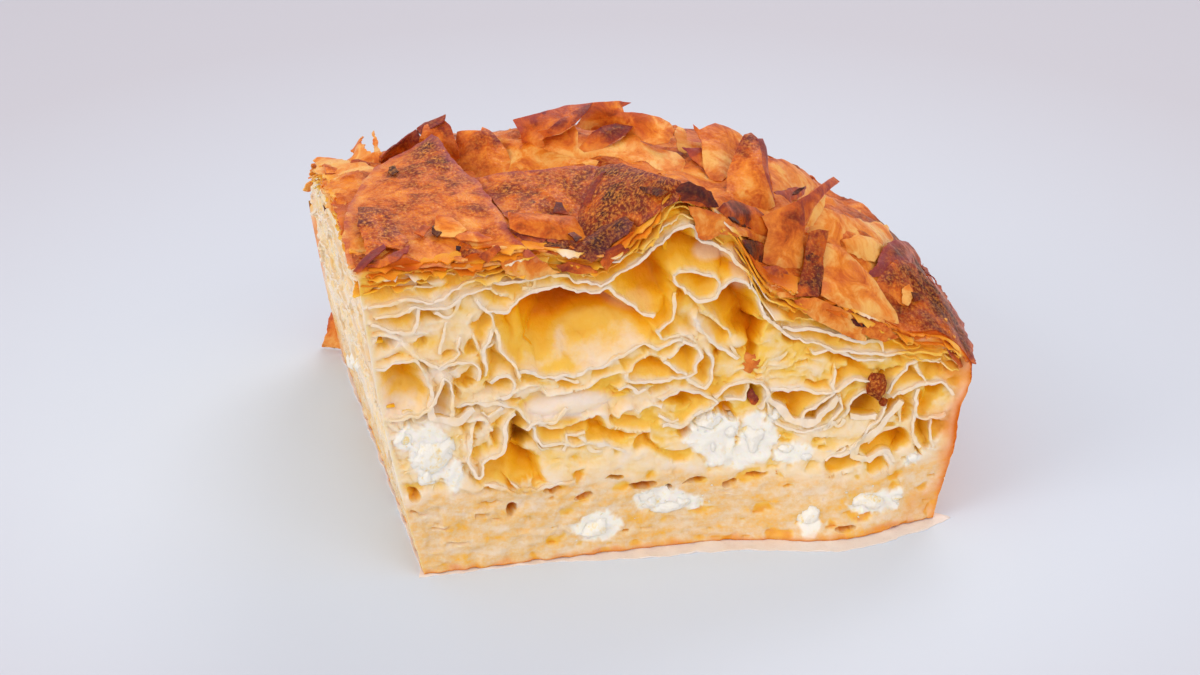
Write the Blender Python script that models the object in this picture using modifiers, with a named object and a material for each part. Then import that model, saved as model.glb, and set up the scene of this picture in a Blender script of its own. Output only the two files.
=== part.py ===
# Gibanica: a corner slice of crumpled phyllo and cheese pie, lying on its base.
# Plan: the front and left sides are knife cuts, the right and back sides are browned
# pan edges that meet in a round corner. X runs along the front cut, Y into the pie, Z up.
# All lengths below are in millimetres from the front left bottom corner; the finished
# slice is moved so that the middle of its base lies at the world origin, in metres.
import math
import random

import bmesh
import bpy
import numpy as np
from mathutils import Matrix, Vector, noise
from mathutils.geometry import delaunay_2d_cdt

MM = 0.001

# Plan of the slice
RIGHT_EDGE = 94.6
BACK_EDGE = 89.5
PAN_CORNER_RADIUS = 38.0
RIGHT_EDGE_BULGE = 2.0
BULGE_LENGTH = 62.0

# The blocks start this much larger than the slice, and the knife cuts take it off
SPARE_FRONT = 14.0
SPARE_LEFT = 20.0

# Heights, and the gap that is kept between two pieces
BASE_SHEET = 0.7
NODE_GAP = 0.3
RIM_HEIGHT = 34.0
CROWN_HEIGHT = 25.0
CUSTARD_HEIGHT = 13.4
CRUST_SKIRT = 1.7

# The crust rolls down over its outer edge, and has a peak, a saddle and a low shoulder in front
ROLL_WIDTH = 10.0
ROLL_DROP = 6.0
BACK_RIGHT_DROP = 3.0
FRONT_LEFT_DROP = 1.4
PEAK_X = 44.5
PEAK_RISE = 7.5
SADDLE_X = 30.0
SADDLE_DIP = 3.0
SHOULDER_X = 52.0
SHOULDER_DIP = 8.5

# The left cut runs askew, leans out as it rises and swells at half height
LEFT_SKEW = 0.0446
LEFT_LEAN = 0.186
LEFT_SWELL = 1.2
CUT_HEIGHT = 57.0

# The foot of the front cut swells forward around one place
FOOT_SWELL = 5.4
FOOT_SWELL_X = 71.0

# Cut sheets of phyllo: half their edge, how far out their foot starts, and how steeply the
# cell falls away below, beside and above an edge
SHEET_HALF = 0.4
SHEET_FOOT = 0.62
CEILING_SLOPE = 7.0
WALL_SLOPE = 3.4
FLOOR_SLOPE = 1.5

# Flakes of the crust
FLAKE_THICKNESS = 0.8
FAR_FLAKE_SPACING = 20.0
FAR_FLAKE_START = 60.0

# Colours, as linear red, green and blue
PHYLLO_COLOUR = (0.80, 0.52, 0.22)
CUSTARD_COLOUR = (0.86, 0.62, 0.32)
BASE_COLOUR = (0.84, 0.58, 0.34)
CHEESE_COLOUR = (0.92, 0.88, 0.80)

# Detail of the meshes: faces of the top grids, and the spacing of the points on the cuts
TOP_GRID = (27, 25)
CUSTARD_GRID = (10, 10)
FRONT_SPACING = 3.6
FRONT_STEP = 3.0
LEFT_SPACING = 6.0
LEFT_STEP = 5.0
HOLE_RINGS = [(1.02, 9), (0.66, 6)]

# Each cutter's relief goes over this region of its cut, well past the slice
FRONT_REGION = ((-22, -6), (104, 76))
LEFT_REGION = ((-18, -6), (100, 76))
CUTTER_FRONT = -40.0
CUTTER_LEFT = -50.0

# How the pan wall draws in towards the bottom: (height, inset)
WALL_PROFILE = [(24.7, 0.0), (20.4, 1.9), (13.3, 2.9), (6.9, 4.6), (0.0, 6.6)]

# Cut edges of the crumpled sheets on the front, as (recess behind the cut, points x z)
FRONT_SHEETS = [
    (0.0, [(-9, 51.2), (-1.3, 52), (2.8, 51.1), (9.5, 54.6), (14.4, 52.9), (23.2, 53.4), (30.5, 50.8),
           (34.7, 53.1), (39.9, 56.8), (43, 59), (45.9, 59.4), (46.7, 57.2), (51.4, 54.6), (55, 50.5),
           (57.6, 43.9), (59.5, 40.2), (63.4, 37.2), (67.6, 35.1), (72.4, 33.5), (80, 31.9), (91, 31)]),
    (0.0, [(-7.5, 49), (-0.8, 50), (4.4, 49.3), (7, 51.3), (12, 52.2)]),
    (0.0, [(-8.6, 48.2), (-4.9, 46.4), (-1.3, 45.9), (-0.2, 49.6)]),
    (0.0, [(-8, 45.4), (-5, 45.6), (-2.3, 42.8), (0, 40.8)]),
    (0.0, [(-9, 39.3), (-4.9, 39.9), (-0.8, 40.5), (0, 38.6), (1.3, 35.9), (2, 33), (0.3, 30.8), (-7, 30)]),
    (0.0, [(0.4, 40.8), (2.8, 38.6), (5.6, 39.2), (9, 38.4), (9.6, 36)]),
    (0.6, [(6.8, 50.6), (5.2, 47.8), (2.6, 48.6)]),
    (0.4, [(4.4, 47), (3.8, 44), (3.2, 41.5)]),
    (0.4, [(8.6, 47.4), (7.6, 44), (7.3, 41.2)]),
    (0.0, [(11.4, 48.2), (12.4, 46), (11.9, 43.4), (10.8, 41), (11, 36.2)]),
    (0.0, [(12.4, 45), (13.4, 41.4), (15.2, 37.9), (16.4, 35.6)]),
    (0.0, [(9.6, 50.2), (13.7, 47.6), (17.3, 49.8), (22.7, 51.3), (28.7, 49.4), (31.8, 49.6),
           (35.4, 46.2), (39.5, 43.6)]),
    (0.0, [(16.2, 36.4), (20, 35.2), (25, 34.4), (30, 35.2), (34.7, 37.3), (38, 38.4), (41, 37.6),
           (44.4, 38.8)]),
    (0.0, [(15.4, 32.4), (18, 33), (19.8, 32.8), (21.4, 31.4), (26, 31.6), (32.4, 33.6), (35, 34.4),
           (39, 36.5), (41, 35.7), (43.4, 36.3), (44.6, 38.2)]),
    (0.0, [(44.5, 38.5), (47.3, 36.3), (46.8, 33.5), (45, 31.6), (35.6, 32), (34.4, 34)]),
    (0.0, [(41.1, 35.2), (43.2, 33.6), (45, 32.2)]),
    (0.0, [(48.6, 36.2), (49.3, 34), (48.4, 29.6), (45, 31.4)]),
    (0.0, [(46.7, 42.9), (47.7, 40), (50, 37), (53.8, 34)]),
    (0.0, [(42.8, 51.3), (43.4, 49.8), (45, 47.5), (47.2, 45.5), (49.6, 45.8), (52.3, 48.5), (56.8, 46.8)]),
    (0.0, [(42.8, 51.4), (44.8, 51.4), (50.2, 49.3), (50.6, 46.8)]),
    (0.6, [(47.3, 45.2), (48.6, 42.2), (52, 39.5), (52.8, 36.2), (54, 33.8)]),
    (3.0, [(41.8, 56.4), (42.4, 53.6), (47.2, 52.6)]),
    (3.5, [(18, 43.4), (18.3, 40.4), (21.8, 36.6)]),
    (0.0, [(61.5, 39), (66, 38.2), (70, 36.7), (75.5, 35)]),
    (0.0, [(66.6, 33.4), (70.6, 33.5), (75, 31.3), (79.6, 30.6)]),
    (0.0, [(59.4, 27.6), (64, 27.4), (67.2, 26), (71, 26.4), (73, 27.4), (78, 27.4)]),
    (0.0, [(70.9, 30), (70.4, 27.6), (70, 25.4), (66, 22.8), (63.4, 20.8)]),
    (0.0, [(58.8, 26.8), (60.2, 22.4), (63, 19.8), (66, 19.2), (69.6, 20.4), (72, 23), (71.5, 25)]),
    (0.0, [(66, 18.6), (70, 19.6), (72.6, 21.2), (73.4, 23.4), (75.7, 24.9), (79, 23), (79.4, 22.2)]),
    (0.0, [(79.4, 22.2), (78.3, 19.8), (76, 17.7), (74.5, 14.8), (74.4, 12.9), (77.2, 12.9), (79.3, 13.3),
           (81.1, 10.4)]),
    (0.6, [(82.4, 21.8), (81.9, 18), (79.2, 17.6), (76.4, 15.8)]),
    (0.0, [(68.2, 11.4), (69.4, 14.6), (73.4, 14.8), (76, 17.6)]),
    (0.0, [(67.8, 10.8), (75, 11.6), (76.4, 10.6), (81, 10.2)]),
    (0.0, [(79.8, 24.2), (83.2, 28.7), (86, 29.8), (89, 29.2)]),
    (0.0, [(80.2, 23.6), (84, 25), (90, 25.2), (91.2, 20.4), (86.6, 18.8), (84.4, 20.4)]),
    (0.0, [(84.9, 29), (86.6, 25.6)]),
    (0.0, [(85, 24.6), (84.4, 19), (84.8, 14.8), (86.6, 12.4)]),
    (0.4, [(87.8, 18.4), (87.4, 15), (88.2, 13)]),
    (0.0, [(-6, 29.8), (-3, 30.4), (0.2, 30.6), (2.6, 33.4), (3.8, 36.8), (5, 34.4), (5.2, 29)]),
    (0.0, [(12.2, 34.6), (13.6, 36), (15.2, 35), (15.6, 32.4), (12.6, 31.4)]),
    (0.0, [(5.4, 28.2), (8.6, 28), (11, 27.4), (12.2, 25.6)]),
    (0.0, [(6, 30.8), (10, 31.2), (15.8, 29.4), (18.6, 25.8), (20.5, 22.8), (24, 21.4), (30, 20.8),
           (35.4, 19)]),
    (0.0, [(8.8, 27), (8, 22.6), (8.6, 18.2), (9.8, 17.6), (10.6, 21), (13.8, 21.8), (14.2, 26.4),
           (15.8, 28.4)]),
    (0.0, [(19, 26.4), (22.5, 24.9), (26, 25), (30.6, 26.6), (31.8, 24.2), (35.1, 22.6), (39, 22.2)]),
    (0.0, [(10.2, 15.8), (14, 14.6), (17.4, 13.4), (21, 14.2), (26, 14.8)]),
    (0.0, [(33.2, 25.4), (35, 26.8), (37, 26), (39.2, 27.2), (41, 26.6)]),
    (0.0, [(41, 28.2), (44, 29.2), (48.2, 28), (50.2, 26.4), (47, 24.4), (44.8, 22.6), (41.2, 23)]),
    (0.0, [(50.2, 27.4), (52.6, 29.6), (57.4, 29.2), (59, 27), (57.6, 24.6)]),
    (0.0, [(52, 26.8), (54.8, 27), (55.4, 28.8)]),
]

# Deep cells behind those edges, as (x, z, half width, half height, depth)
FRONT_CELLS = [
    (24, 43.5, 12, 7, 13), (37.5, 51, 6, 5, 9), (45, 55, 4.5, 3.5, 8), (52.5, 51, 4.5, 3.5, 7),
    (53.5, 42, 4.5, 6, 11), (46.8, 48.6, 4, 2.6, 7), (42.5, 43, 4.5, 3.6, 3), (44.4, 35.3, 3.2, 3, 8),
    (39, 33.3, 3.4, 1.9, 6), (48, 32.6, 1.8, 3.2, 7), (-4, 36, 5, 4.6, 6), (4.2, 33, 2, 3.6, 6),
    (12.4, 40, 2, 3, 6), (13.8, 33.8, 2.2, 2.4, 6), (16.2, 24.6, 3.6, 3.4, 11), (7, 24, 1.8, 5, 5),
    (14, 18.4, 5, 3.2, 6), (28, 23.4, 9, 2, 5), (67.5, 37, 4.6, 1.8, 6), (71.5, 32.3, 3.2, 1.2, 4),
    (64.5, 25.8, 3.2, 2, 6), (67.5, 22.9, 3.8, 1.5, 6), (76, 22.9, 3, 2.2, 9), (74, 28.4, 3, 1.2, 4),
    (71.6, 13.2, 2.6, 1.8, 8), (78.3, 12.2, 2.3, 1.4, 7), (82.8, 26.6, 2.8, 2, 7), (87.2, 27.8, 2, 2.2, 6),
    (86, 16, 1.3, 3.4, 5), (79.4, 15.4, 3.8, 2, 4.5), (52.5, 28.3, 2.4, 1.4, 7), (57.3, 27.2, 1.6, 1.8, 8),
    (44.8, 27.8, 3.6, 1.5, 4.5), (47.2, 22.6, 2.6, 3, 4), (12.4, 51.2, 4, 1.2, 3), (-3.6, 47.5, 3, 1.2, 4),
]
# Smooth tight places where sheets lie closed on each other
FRONT_TIGHT = [
    (62.5, 30.4, 9, 3.2, 0.7), (25, 28.6, 7.5, 3, 2.2), (33, 29, 5, 3.4, 1.6), (57.6, 18.5, 6, 5, 0.6),
    (2.5, 23, 6, 6.4, 0.6), (42, 24.6, 4, 2, 1.2), (84, 21.8, 4, 2, 2.2),
]
# Small holes in the dense lower part, as (x, z, half width, half height, depth)
FRONT_HOLES = [
    (38.4, 11.9, 2.4, 1.0, 4), (46.9, 12.4, 1.9, 1.1, 3.5), (56, 11.7, 3.8, 1.1, 3), (15, 10.6, 1.7, 1.9, 4),
    (28.6, 11.3, 3.0, 1.2, 3), (-0.9, 15.4, 1.5, 1.8, 4), (71.8, 1.9, 2.6, 1.2, 2.5),
]

# The left cut, whose sheets follow a rule: rows of wavy sheets, some joined by short folds
LEFT_ROWS = 7
LEFT_FOLD_SHARE = 0.55
LEFT_LOW_SHARE = 0.3
LEFT_HIGH_SHARE = 0.96

# Lumps of white cheese: name, cut side, place along the cut, height, size along, deep, high
CHEESE = [
    ("cheese_left", "front", 2.0, 22.8, 9.0, 8.0, 10.0),
    ("cheese_right", "front", 57.4, 18.4, 9.4, 8.4, 8.6),
    ("cheese_bottom", "front", 29.5, 5.0, 10.0, 7.0, 7.0),
    ("cheese_low_mid", "front", 41.6, 8.2, 10.5, 5.6, 4.6),
    ("cheese_low_right", "front", 66.2, 4.0, 5.4, 5.0, 5.2),
    ("cheese_foot_right", "front", 76.2, 5.6, 7.6, 5.4, 4.8),
    ("cheese_pale_mid", "front", 50.4, 18.0, 4.6, 4.6, 4.6),
    ("cheese_side_low", "left", 24.0, 8.2, 8.4, 6.4, 6.0),
    ("cheese_side_mid", "left", 47.0, 17.6, 9.0, 7.0, 6.8),
    ("cheese_side_back", "left", 67.0, 7.2, 6.6, 5.6, 5.2),
]

# Flakes of the crust, each a thin sheet over four corners (x, y, height above the crust):
# two at the root, which grows out of the crust, then two at the free edge. The last value
# is how far its middle bows up.
CRUST_FLAKES = [
    ([(-9, 2, -0.4), (16, 3, -0.4), (14, 40, 2.6), (-1, 35, 1.6)], 0.6),
    ([(1, 46, -0.9), (15, 56, -0.9), (16, 47, 7.0), (2, 40, 2.6)], 1.0),
    ([(14, 49, -0.9), (28, 45, -0.9), (24, 39, 4.4), (15, 43, 3.6)], 0.8),
    ([(34, 25, -0.6), (14, 26, -0.6), (18, 11, 1.6), (31, 9.5, 1.2)], 0.5),
    ([(50, 18, -0.6), (34, 26, -0.6), (31, 5, 1.4), (44, 1.5, 1.4)], 0.9),
    ([(16, 4, -0.5), (29, 3, -0.5), (29.5, 10.5, 0.9), (17, 11.5, 1.0)], 1.2),
    ([(27, 0.5, -0.5), (37, 1, -0.5), (39, 6, 1.4), (31, 7, 1.7)], 0.4),
    ([(29, 51, -0.9), (41, 51, -0.9), (41, 43, 5.4), (30, 45, 3.2)], 0.6),
    ([(39, 50, -0.9), (54, 46, -0.9), (51, 36, 5.6), (40, 42, 6.0)], 1.0),
    ([(31, 59, -0.9), (50, 56, -0.9), (45.5, 40, 8.2), (29.5, 44, 5.2)], 0.8),
    ([(36, 35, -0.7), (41, 32, -0.7), (46, 36, 3.8), (40, 40, 2.8)], 0.8),
    ([(42, 8, -0.7), (54, 13, -0.7), (55, 4, 2.2), (47, 2, 2.8)], 1.0),
    ([(50, 15, -0.7), (63, 15, -0.7), (61, 9, 1.6), (52, 7, 2.0)], 0.4),
    ([(56, 27, -0.9), (63.5, 24, -0.9), (62.5, 20, 9.6), (58, 21, 8.4)], 0.4),
    ([(62, 24, -0.9), (68, 23, -0.9), (65, 20.5, 8.0), (62.4, 20, 9.7)], 0.6),
    ([(52, 33, -0.9), (65, 30, -0.9), (62, 34, 6.0), (55, 36, 5.2)], 0.8),
    ([(64, 26, -0.9), (76, 26, -0.9), (74, 29, 3.0), (66, 30, 4.8)], 0.6),
    ([(62, 14, -0.8), (71, 15, -0.8), (78, 21, 6.6), (76.6, 23, 6.4)], 0.3),
    ([(69, 14, -0.7), (85, 21, -0.7), (82, 31, 1.6), (73, 25, 2.4)], 1.0),
    ([(58, 7, -0.6), (52, 8, -0.6), (51.5, 1.0, 0.9), (57, 0.8, 0.9)], 0.3),
    ([(70, 15, -0.6), (61, 13, -0.6), (59, 2.5, 0.7), (67, 3.5, 0.8)], 0.5),
    ([(63, -0.5, -0.6), (68, 0.5, -0.6), (72, 9, 3.2), (68, 9, 3.2)], 0.2),
    ([(67, 0.5, -0.6), (81, 0.5, -0.6), (79, 8, 1.4), (70, 8, 2.4)], 0.8),
    ([(80, 4, -0.7), (92, 5, -0.7), (90, 20, 1.6), (81, 14, 1.6)], 0.8),
    ([(85, 20, -0.7), (94, 22, -0.7), (92, 36, 1.2), (84, 33, 1.8)], 0.8),
    ([(-7, 40, -0.7), (3, 42, -0.7), (3, 52, 1.8), (-5, 51, 1.4)], 0.8),
    ([(-4, 63, -0.7), (6, 63, -0.7), (4, 52, 2.4), (-5.4, 51, 1.8)], 0.8),
    ([(-2, 77, -0.7), (9, 77, -0.7), (6, 65, 2.0), (-3, 65, 1.6)], 0.8),
]


def smooth_step(t):
    t = min(max(t, 0.0), 1.0)
    return t * t * (3 - 2 * t)


def bell(distance, width):
    return math.exp(-(distance / width) ** 2)


def arch(t):
    """Rises from 0 to 1 and falls to 0 again while t goes from 0 to 1."""
    return math.sin(math.pi * min(max(t, 0.0), 1.0))


def right_edge(y):
    """Plan of the right pan edge, round at the back."""
    bulge = RIGHT_EDGE_BULGE * arch(y / BULGE_LENGTH)
    back = y - (BACK_EDGE - PAN_CORNER_RADIUS)
    if back <= 0:
        return RIGHT_EDGE + bulge
    run = math.sqrt(max(PAN_CORNER_RADIUS ** 2 - back ** 2, 0.0))
    return RIGHT_EDGE + bulge - PAN_CORNER_RADIUS + run


def back_edge(x):
    side = x - (RIGHT_EDGE - PAN_CORNER_RADIUS)
    if side <= 0:
        return BACK_EDGE
    return BACK_EDGE - PAN_CORNER_RADIUS + math.sqrt(max(PAN_CORNER_RADIUS ** 2 - side ** 2, 0.0))


def crust_height(x, y):
    """Height of the top crust, without its crumples."""
    from_right = max(right_edge(y) - x, 0.0)
    from_back = max(back_edge(x) - y, 0.0)
    across = 1 - (1 - min(from_right / 62, 1)) ** 2.2
    along = 1 - (1 - min(from_back / 80, 1)) ** 2.4
    z = RIM_HEIGHT + CROWN_HEIGHT * across * (0.06 + 0.94 * along)
    edge = min(from_right, from_back)
    z -= ROLL_DROP * max(1 - edge / ROLL_WIDTH, 0) ** 2
    z -= BACK_RIGHT_DROP * smooth_step((x - 70) / 20) * smooth_step((y - 35) / 25)
    y = max(y, 0)
    z -= FRONT_LEFT_DROP * bell(y, 12) * smooth_step((24 - x) / 20)
    z += PEAK_RISE * bell(x - PEAK_X, 6.5) * bell(y, 16)
    z -= SADDLE_DIP * bell(x - SADDLE_X, 8) * bell(y, 14)
    z -= SHOULDER_DIP * smooth_step((x - SHOULDER_X) / 8) * bell(y, 9) * smooth_step((96 - x) / 14)
    return z


def crumple(x, y):
    """Folds of the crust, a little over a millimetre either way."""
    fold = abs(noise.noise(Vector((x / 11, y / 15, 3.1)))) * 3.2
    fine = noise.noise(Vector((x / 4.5, y / 5.5, 9.7))) * 0.9
    return 1.1 - fold + fine


def custard_top(x, y):
    """The dense lower layer of soaked sheets and egg, thinner on the right."""
    z = CUSTARD_HEIGHT + 1.2 * math.sin(x / 16 + 0.6) * math.cos(y / 19) - 2.2 * smooth_step((x - 52) / 24)
    return z + 0.5 * noise.noise(Vector((x / 9, y / 9, 5.0)))


def wall_inset(z):
    """How far the pan wall stands in from the rim at a height."""
    heights = [h for h, _ in reversed(WALL_PROFILE)]
    insets = [i for _, i in reversed(WALL_PROFILE)]
    return float(np.interp(z, heights, insets))


def left_cut(y, z):
    """The left knife cut leans outwards as it rises."""
    lean = LEFT_LEAN * z * (1 - 0.004 * y)
    return LEFT_SKEW * y - lean - LEFT_SWELL * arch(z / CUT_HEIGHT)


def front_bow(x, z):
    """The foot of the front cut swells forward on the right."""
    return -FOOT_SWELL * bell(x - FOOT_SWELL_X, 14) * max(1 - z / 30, 0) ** 2


def spline(points, step):
    """A smooth line through the points, with a point about every step (Catmull-Rom)."""
    pts = [Vector(p) for p in points]
    ends = [2 * pts[0] - pts[1]] + pts + [2 * pts[-1] - pts[-2]]
    line = []
    for k in range(1, len(ends) - 2):
        a, b, c, d = ends[k - 1:k + 3]
        parts = max(1, round((c - b).length / step))
        for i in range(parts):
            t = i / parts
            line.append(0.5 * (2 * b + (c - a) * t + (2 * a - 5 * b + 4 * c - d) * t * t
                               + (3 * b - a - 3 * c + d) * t ** 3))
    return line + [pts[-1]]


def side_lines(line, offset):
    """The two lines beside a line, at the offset."""
    left, right = [], []
    for k, point in enumerate(line):
        along = line[min(k + 1, len(line) - 1)] - line[max(k - 1, 0)]
        if along.length < 1e-6:
            continue
        across = Vector((-along.y, along.x)).normalized() * offset
        left.append(point + across)
        right.append(point - across)
    return left, right


class CutFace:
    """The relief of one knife cut: sheet edges stand proud of the cells between them."""

    def __init__(self, sheets, pockets, holes, base_depth, limit, region, spacing, step):
        self.sheets = sheets
        self.pockets = pockets
        self.holes = holes
        self.base_depth = base_depth
        self.limit = limit
        self.region = region
        self.spacing = spacing
        self.step = step
        self.edges = np.array([(p.x, p.y, recess) for recess, pts in sheets for p in spline(pts, 0.5)])

    def deepest(self, u, v):
        """How deep the cut may go at a place, whatever its distance from a sheet."""
        cap = self.base_depth(v)
        for cu, cv, ru, rv, depth in self.pockets:
            far = math.hypot((u - cu) / ru, (v - cv) / rv)
            cap += (depth - cap) * smooth_step((1.3 - far) / 0.45)
        return cap

    def depth(self, u, v):
        """Depth of the relief: cells fall away gently above a sheet and steeply below one."""
        du = u - self.edges[:, 0]
        dv = v - self.edges[:, 1]
        far = np.hypot(du, dv) + 1e-6
        above = dv / far
        floor_share = (FLOOR_SLOPE / WALL_SLOPE) ** above
        ceiling_share = (CEILING_SLOPE / WALL_SLOPE) ** -above
        slope = WALL_SLOPE * np.where(above > 0, floor_share, ceiling_share)
        falls = self.edges[:, 2] + slope * np.maximum(far - SHEET_HALF - 0.05, 0)
        value = min(float(np.min(falls)), self.deepest(u, v))
        for cu, cv, ru, rv, deep in self.holes:
            far_in = 1 - math.hypot((u - cu) / ru, (v - cv) / rv)
            value = max(value, deep * smooth_step(far_in / 0.3))
        return min(value, max(self.limit(u, v), 0.0))

    def mesh_points(self):
        """Points of the relief, and the edge lines that its triangles must follow."""
        points, lines = [], []

        def add_line(line, closed=False):
            first = len(points)
            points.extend((p.x, p.y) for p in line)
            last = len(points) - 1
            lines.extend((k, k + 1) for k in range(first, last))
            if closed:
                lines.append((last, first))

        (u0, v0), (u1, v1) = self.region
        add_line([Vector(c) for c in ((u0, v0), (u1, v0), (u1, v1), (u0, v1))], closed=True)
        feet = []
        for recess, pts in self.sheets:
            line = spline(pts, self.step)
            for side in side_lines(line, SHEET_HALF):
                add_line(side)
            for side in side_lines(line, SHEET_HALF + SHEET_FOOT):
                feet.extend(side)
        for cu, cv, ru, rv, _ in self.holes:
            for share, sides in HOLE_RINGS:
                turns = [2 * math.pi * k / sides for k in range(sides)]
                ring = [Vector((cu + ru * share * math.cos(a), cv + rv * share * math.sin(a))) for a in turns]
                add_line(ring, closed=True)
        self.add_free(points, feet, 0.5)
        grid = []
        v = v0 + self.spacing
        row = 0
        while v < v1 - 1:
            u = u0 + self.spacing * (1 + 0.5 * (row % 2))
            while u < u1 - 1:
                grid.append(Vector((u, v)))
                u += self.spacing
            v += self.spacing * 0.87
            row += 1
        self.add_free(points, grid, self.spacing * 0.62)
        return points, lines

    @staticmethod
    def add_free(points, candidates, clearance):
        """Adds the candidates that keep clear of every point so far."""
        for point in candidates:
            placed = np.array(points)
            if np.min(np.hypot(placed[:, 0] - point.x, placed[:, 1] - point.y)) > clearance:
                points.append((point.x, point.y))

    def cutter(self, name, place, pull):
        """A solid in front of the cut, whose back is the relief. Pull is where its flat front lies."""
        points, lines = self.mesh_points()
        found, _, faces, _, _, _ = delaunay_2d_cdt([Vector(p) for p in points], lines, [], 0, 0.12)
        mesh = bmesh.new()
        verts = [mesh.verts.new(Vector(place(p.x, p.y, self.depth(p.x, p.y))) * MM) for p in found]
        for face in faces:
            mesh.faces.new([verts[k] for k in face])
        rim = [e for e in mesh.edges if e.is_boundary]
        grown = bmesh.ops.extrude_edge_only(mesh, edges=rim)["geom"]
        for vert in [g for g in grown if isinstance(g, bmesh.types.BMVert)]:
            pull(vert)
        front = [g for g in grown if isinstance(g, bmesh.types.BMEdge) and g.is_boundary]
        bmesh.ops.holes_fill(mesh, edges=front, sides=0)
        bmesh.ops.recalc_face_normals(mesh, faces=mesh.faces)
        return make_object(name, mesh, CUTTERS)


def make_collection(name):
    group = bpy.data.collections.new(name)
    bpy.context.scene.collection.children.link(group)
    return group


def make_object(name, mesh, group):
    data = bpy.data.meshes.new(name)
    mesh.to_mesh(data)
    mesh.free()
    obj = bpy.data.objects.new(name, data)
    group.objects.link(obj)
    if group is CUTTERS:
        obj.hide_render = True
        obj.display_type = "WIRE"
    return obj


def make_material(name, colour, roughness):
    material = bpy.data.materials.new(name)
    material.use_nodes = True
    shader = material.node_tree.nodes["Principled BSDF"]
    shader.inputs["Base Color"].default_value = (*colour, 1)
    shader.inputs["Roughness"].default_value = roughness
    shader.inputs["Metallic"].default_value = 0
    return material


def pan_edge(share, inset):
    """A point on the pan edge: share is 0 at the front right, 0.5 in the round corner and 1 at
    the back left."""
    radius = PAN_CORNER_RADIUS
    right_run = BACK_EDGE - radius + SPARE_FRONT
    back_run = RIGHT_EDGE - radius + SPARE_LEFT
    half_arc = radius * math.pi / 4
    if share < 0.5:
        run = 2 * share * (right_run + half_arc)
    else:
        run = right_run + half_arc + (2 * share - 1) * (half_arc + back_run)
    if run < right_run:
        y = run - SPARE_FRONT
        return Vector((right_edge(y) - inset, y))
    centre = Vector((RIGHT_EDGE - radius, BACK_EDGE - radius))
    turn = (run - right_run) / radius
    if turn < math.pi / 2:
        bulge = RIGHT_EDGE_BULGE * arch((centre.y + radius * math.sin(turn)) / BULGE_LENGTH)
        across = (radius - inset + bulge) * math.cos(turn)
        return centre + Vector((across, (radius - inset) * math.sin(turn)))
    return Vector((centre.x - (run - right_run - 2 * half_arc), BACK_EDGE - inset))


def slice_block(name, group, grid, top, levels, top_inset):
    """A block over the plan: a warped grid on top, pan walls down through the levels, a flat base."""
    mesh = bmesh.new()
    bmesh.ops.create_grid(mesh, x_segments=grid[0], y_segments=grid[1], size=0.5)
    front_left = Vector((-SPARE_LEFT, -SPARE_FRONT))
    front_right, middle, back_left = [pan_edge(share, top_inset) for share in (0, 0.5, 1)]
    edge_share = {}
    for vert in mesh.verts:
        s, t = round(vert.co.x + 0.5, 6), round(vert.co.y + 0.5, 6)
        front = front_left.lerp(front_right, s)
        left = front_left.lerp(back_left, t)
        right = pan_edge(t / 2, top_inset)
        back = pan_edge(1 - s / 2, top_inset)
        corners = front_left.lerp(front_right, s).lerp(back_left.lerp(middle, s), t)
        place = front.lerp(back, t) + left.lerp(right, s) - corners
        vert.co = Vector((place.x, place.y, top(place.x, place.y))) * MM
        on_pan = s == 1 or t == 1
        edge_share[vert] = (t / 2 if s == 1 else 1 - s / 2) if on_pan else None
    rim = [e for e in mesh.edges if e.is_boundary]
    for height, inset in levels:
        grown = bmesh.ops.extrude_edge_only(mesh, edges=rim)["geom"]
        next_share = {}
        for vert in [g for g in grown if isinstance(g, bmesh.types.BMVert)]:
            above = next(e.other_vert(vert) for e in vert.link_edges if e.other_vert(vert) in edge_share)
            share = edge_share[above]
            next_share[vert] = share
            place = Vector(vert.co.xy) / MM if share is None else pan_edge(share, inset)
            vert.co = Vector((place.x, place.y, height)) * MM
        edge_share = next_share
        rim = [g for g in grown if isinstance(g, bmesh.types.BMEdge) and g.is_boundary]
    bmesh.ops.holes_fill(mesh, edges=rim, sides=0)
    bmesh.ops.recalc_face_normals(mesh, faces=mesh.faces)
    return make_object(name, mesh, group)


def boolean(obj, other, operation, solver="EXACT"):
    """Cuts or joins at once, and leaves the result as the object's own mesh."""
    modifier = obj.modifiers.new(operation.title(), "BOOLEAN")
    modifier.operation = operation
    modifier.solver = solver
    if isinstance(other, bpy.types.Collection):
        modifier.operand_type = "COLLECTION"
        modifier.collection = other
    else:
        modifier.object = other
    bpy.context.view_layer.update()
    result = bpy.data.meshes.new_from_object(obj.evaluated_get(bpy.context.evaluated_depsgraph_get()))
    obj.modifiers.remove(modifier)
    obj.data = result
    keep_largest_body(obj)


def keep_largest_body(obj):
    """Drops the scraps that a knife cut leaves, also those that hang on by one edge or corner."""
    mesh = bmesh.new()
    mesh.from_mesh(obj.data)
    left = set(mesh.faces)
    bodies = []
    while left:
        body = [left.pop()]
        for face in body:
            for edge in face.edges:
                if len(edge.link_faces) != 2:
                    continue
                for other in edge.link_faces:
                    if other in left:
                        left.remove(other)
                        body.append(other)
        bodies.append(body)
    bodies.sort(key=len)
    scraps = [face for body in bodies[:-1] for face in body]
    bmesh.ops.delete(mesh, geom=scraps, context="FACES")
    mesh.to_mesh(obj.data)
    mesh.free()


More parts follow.
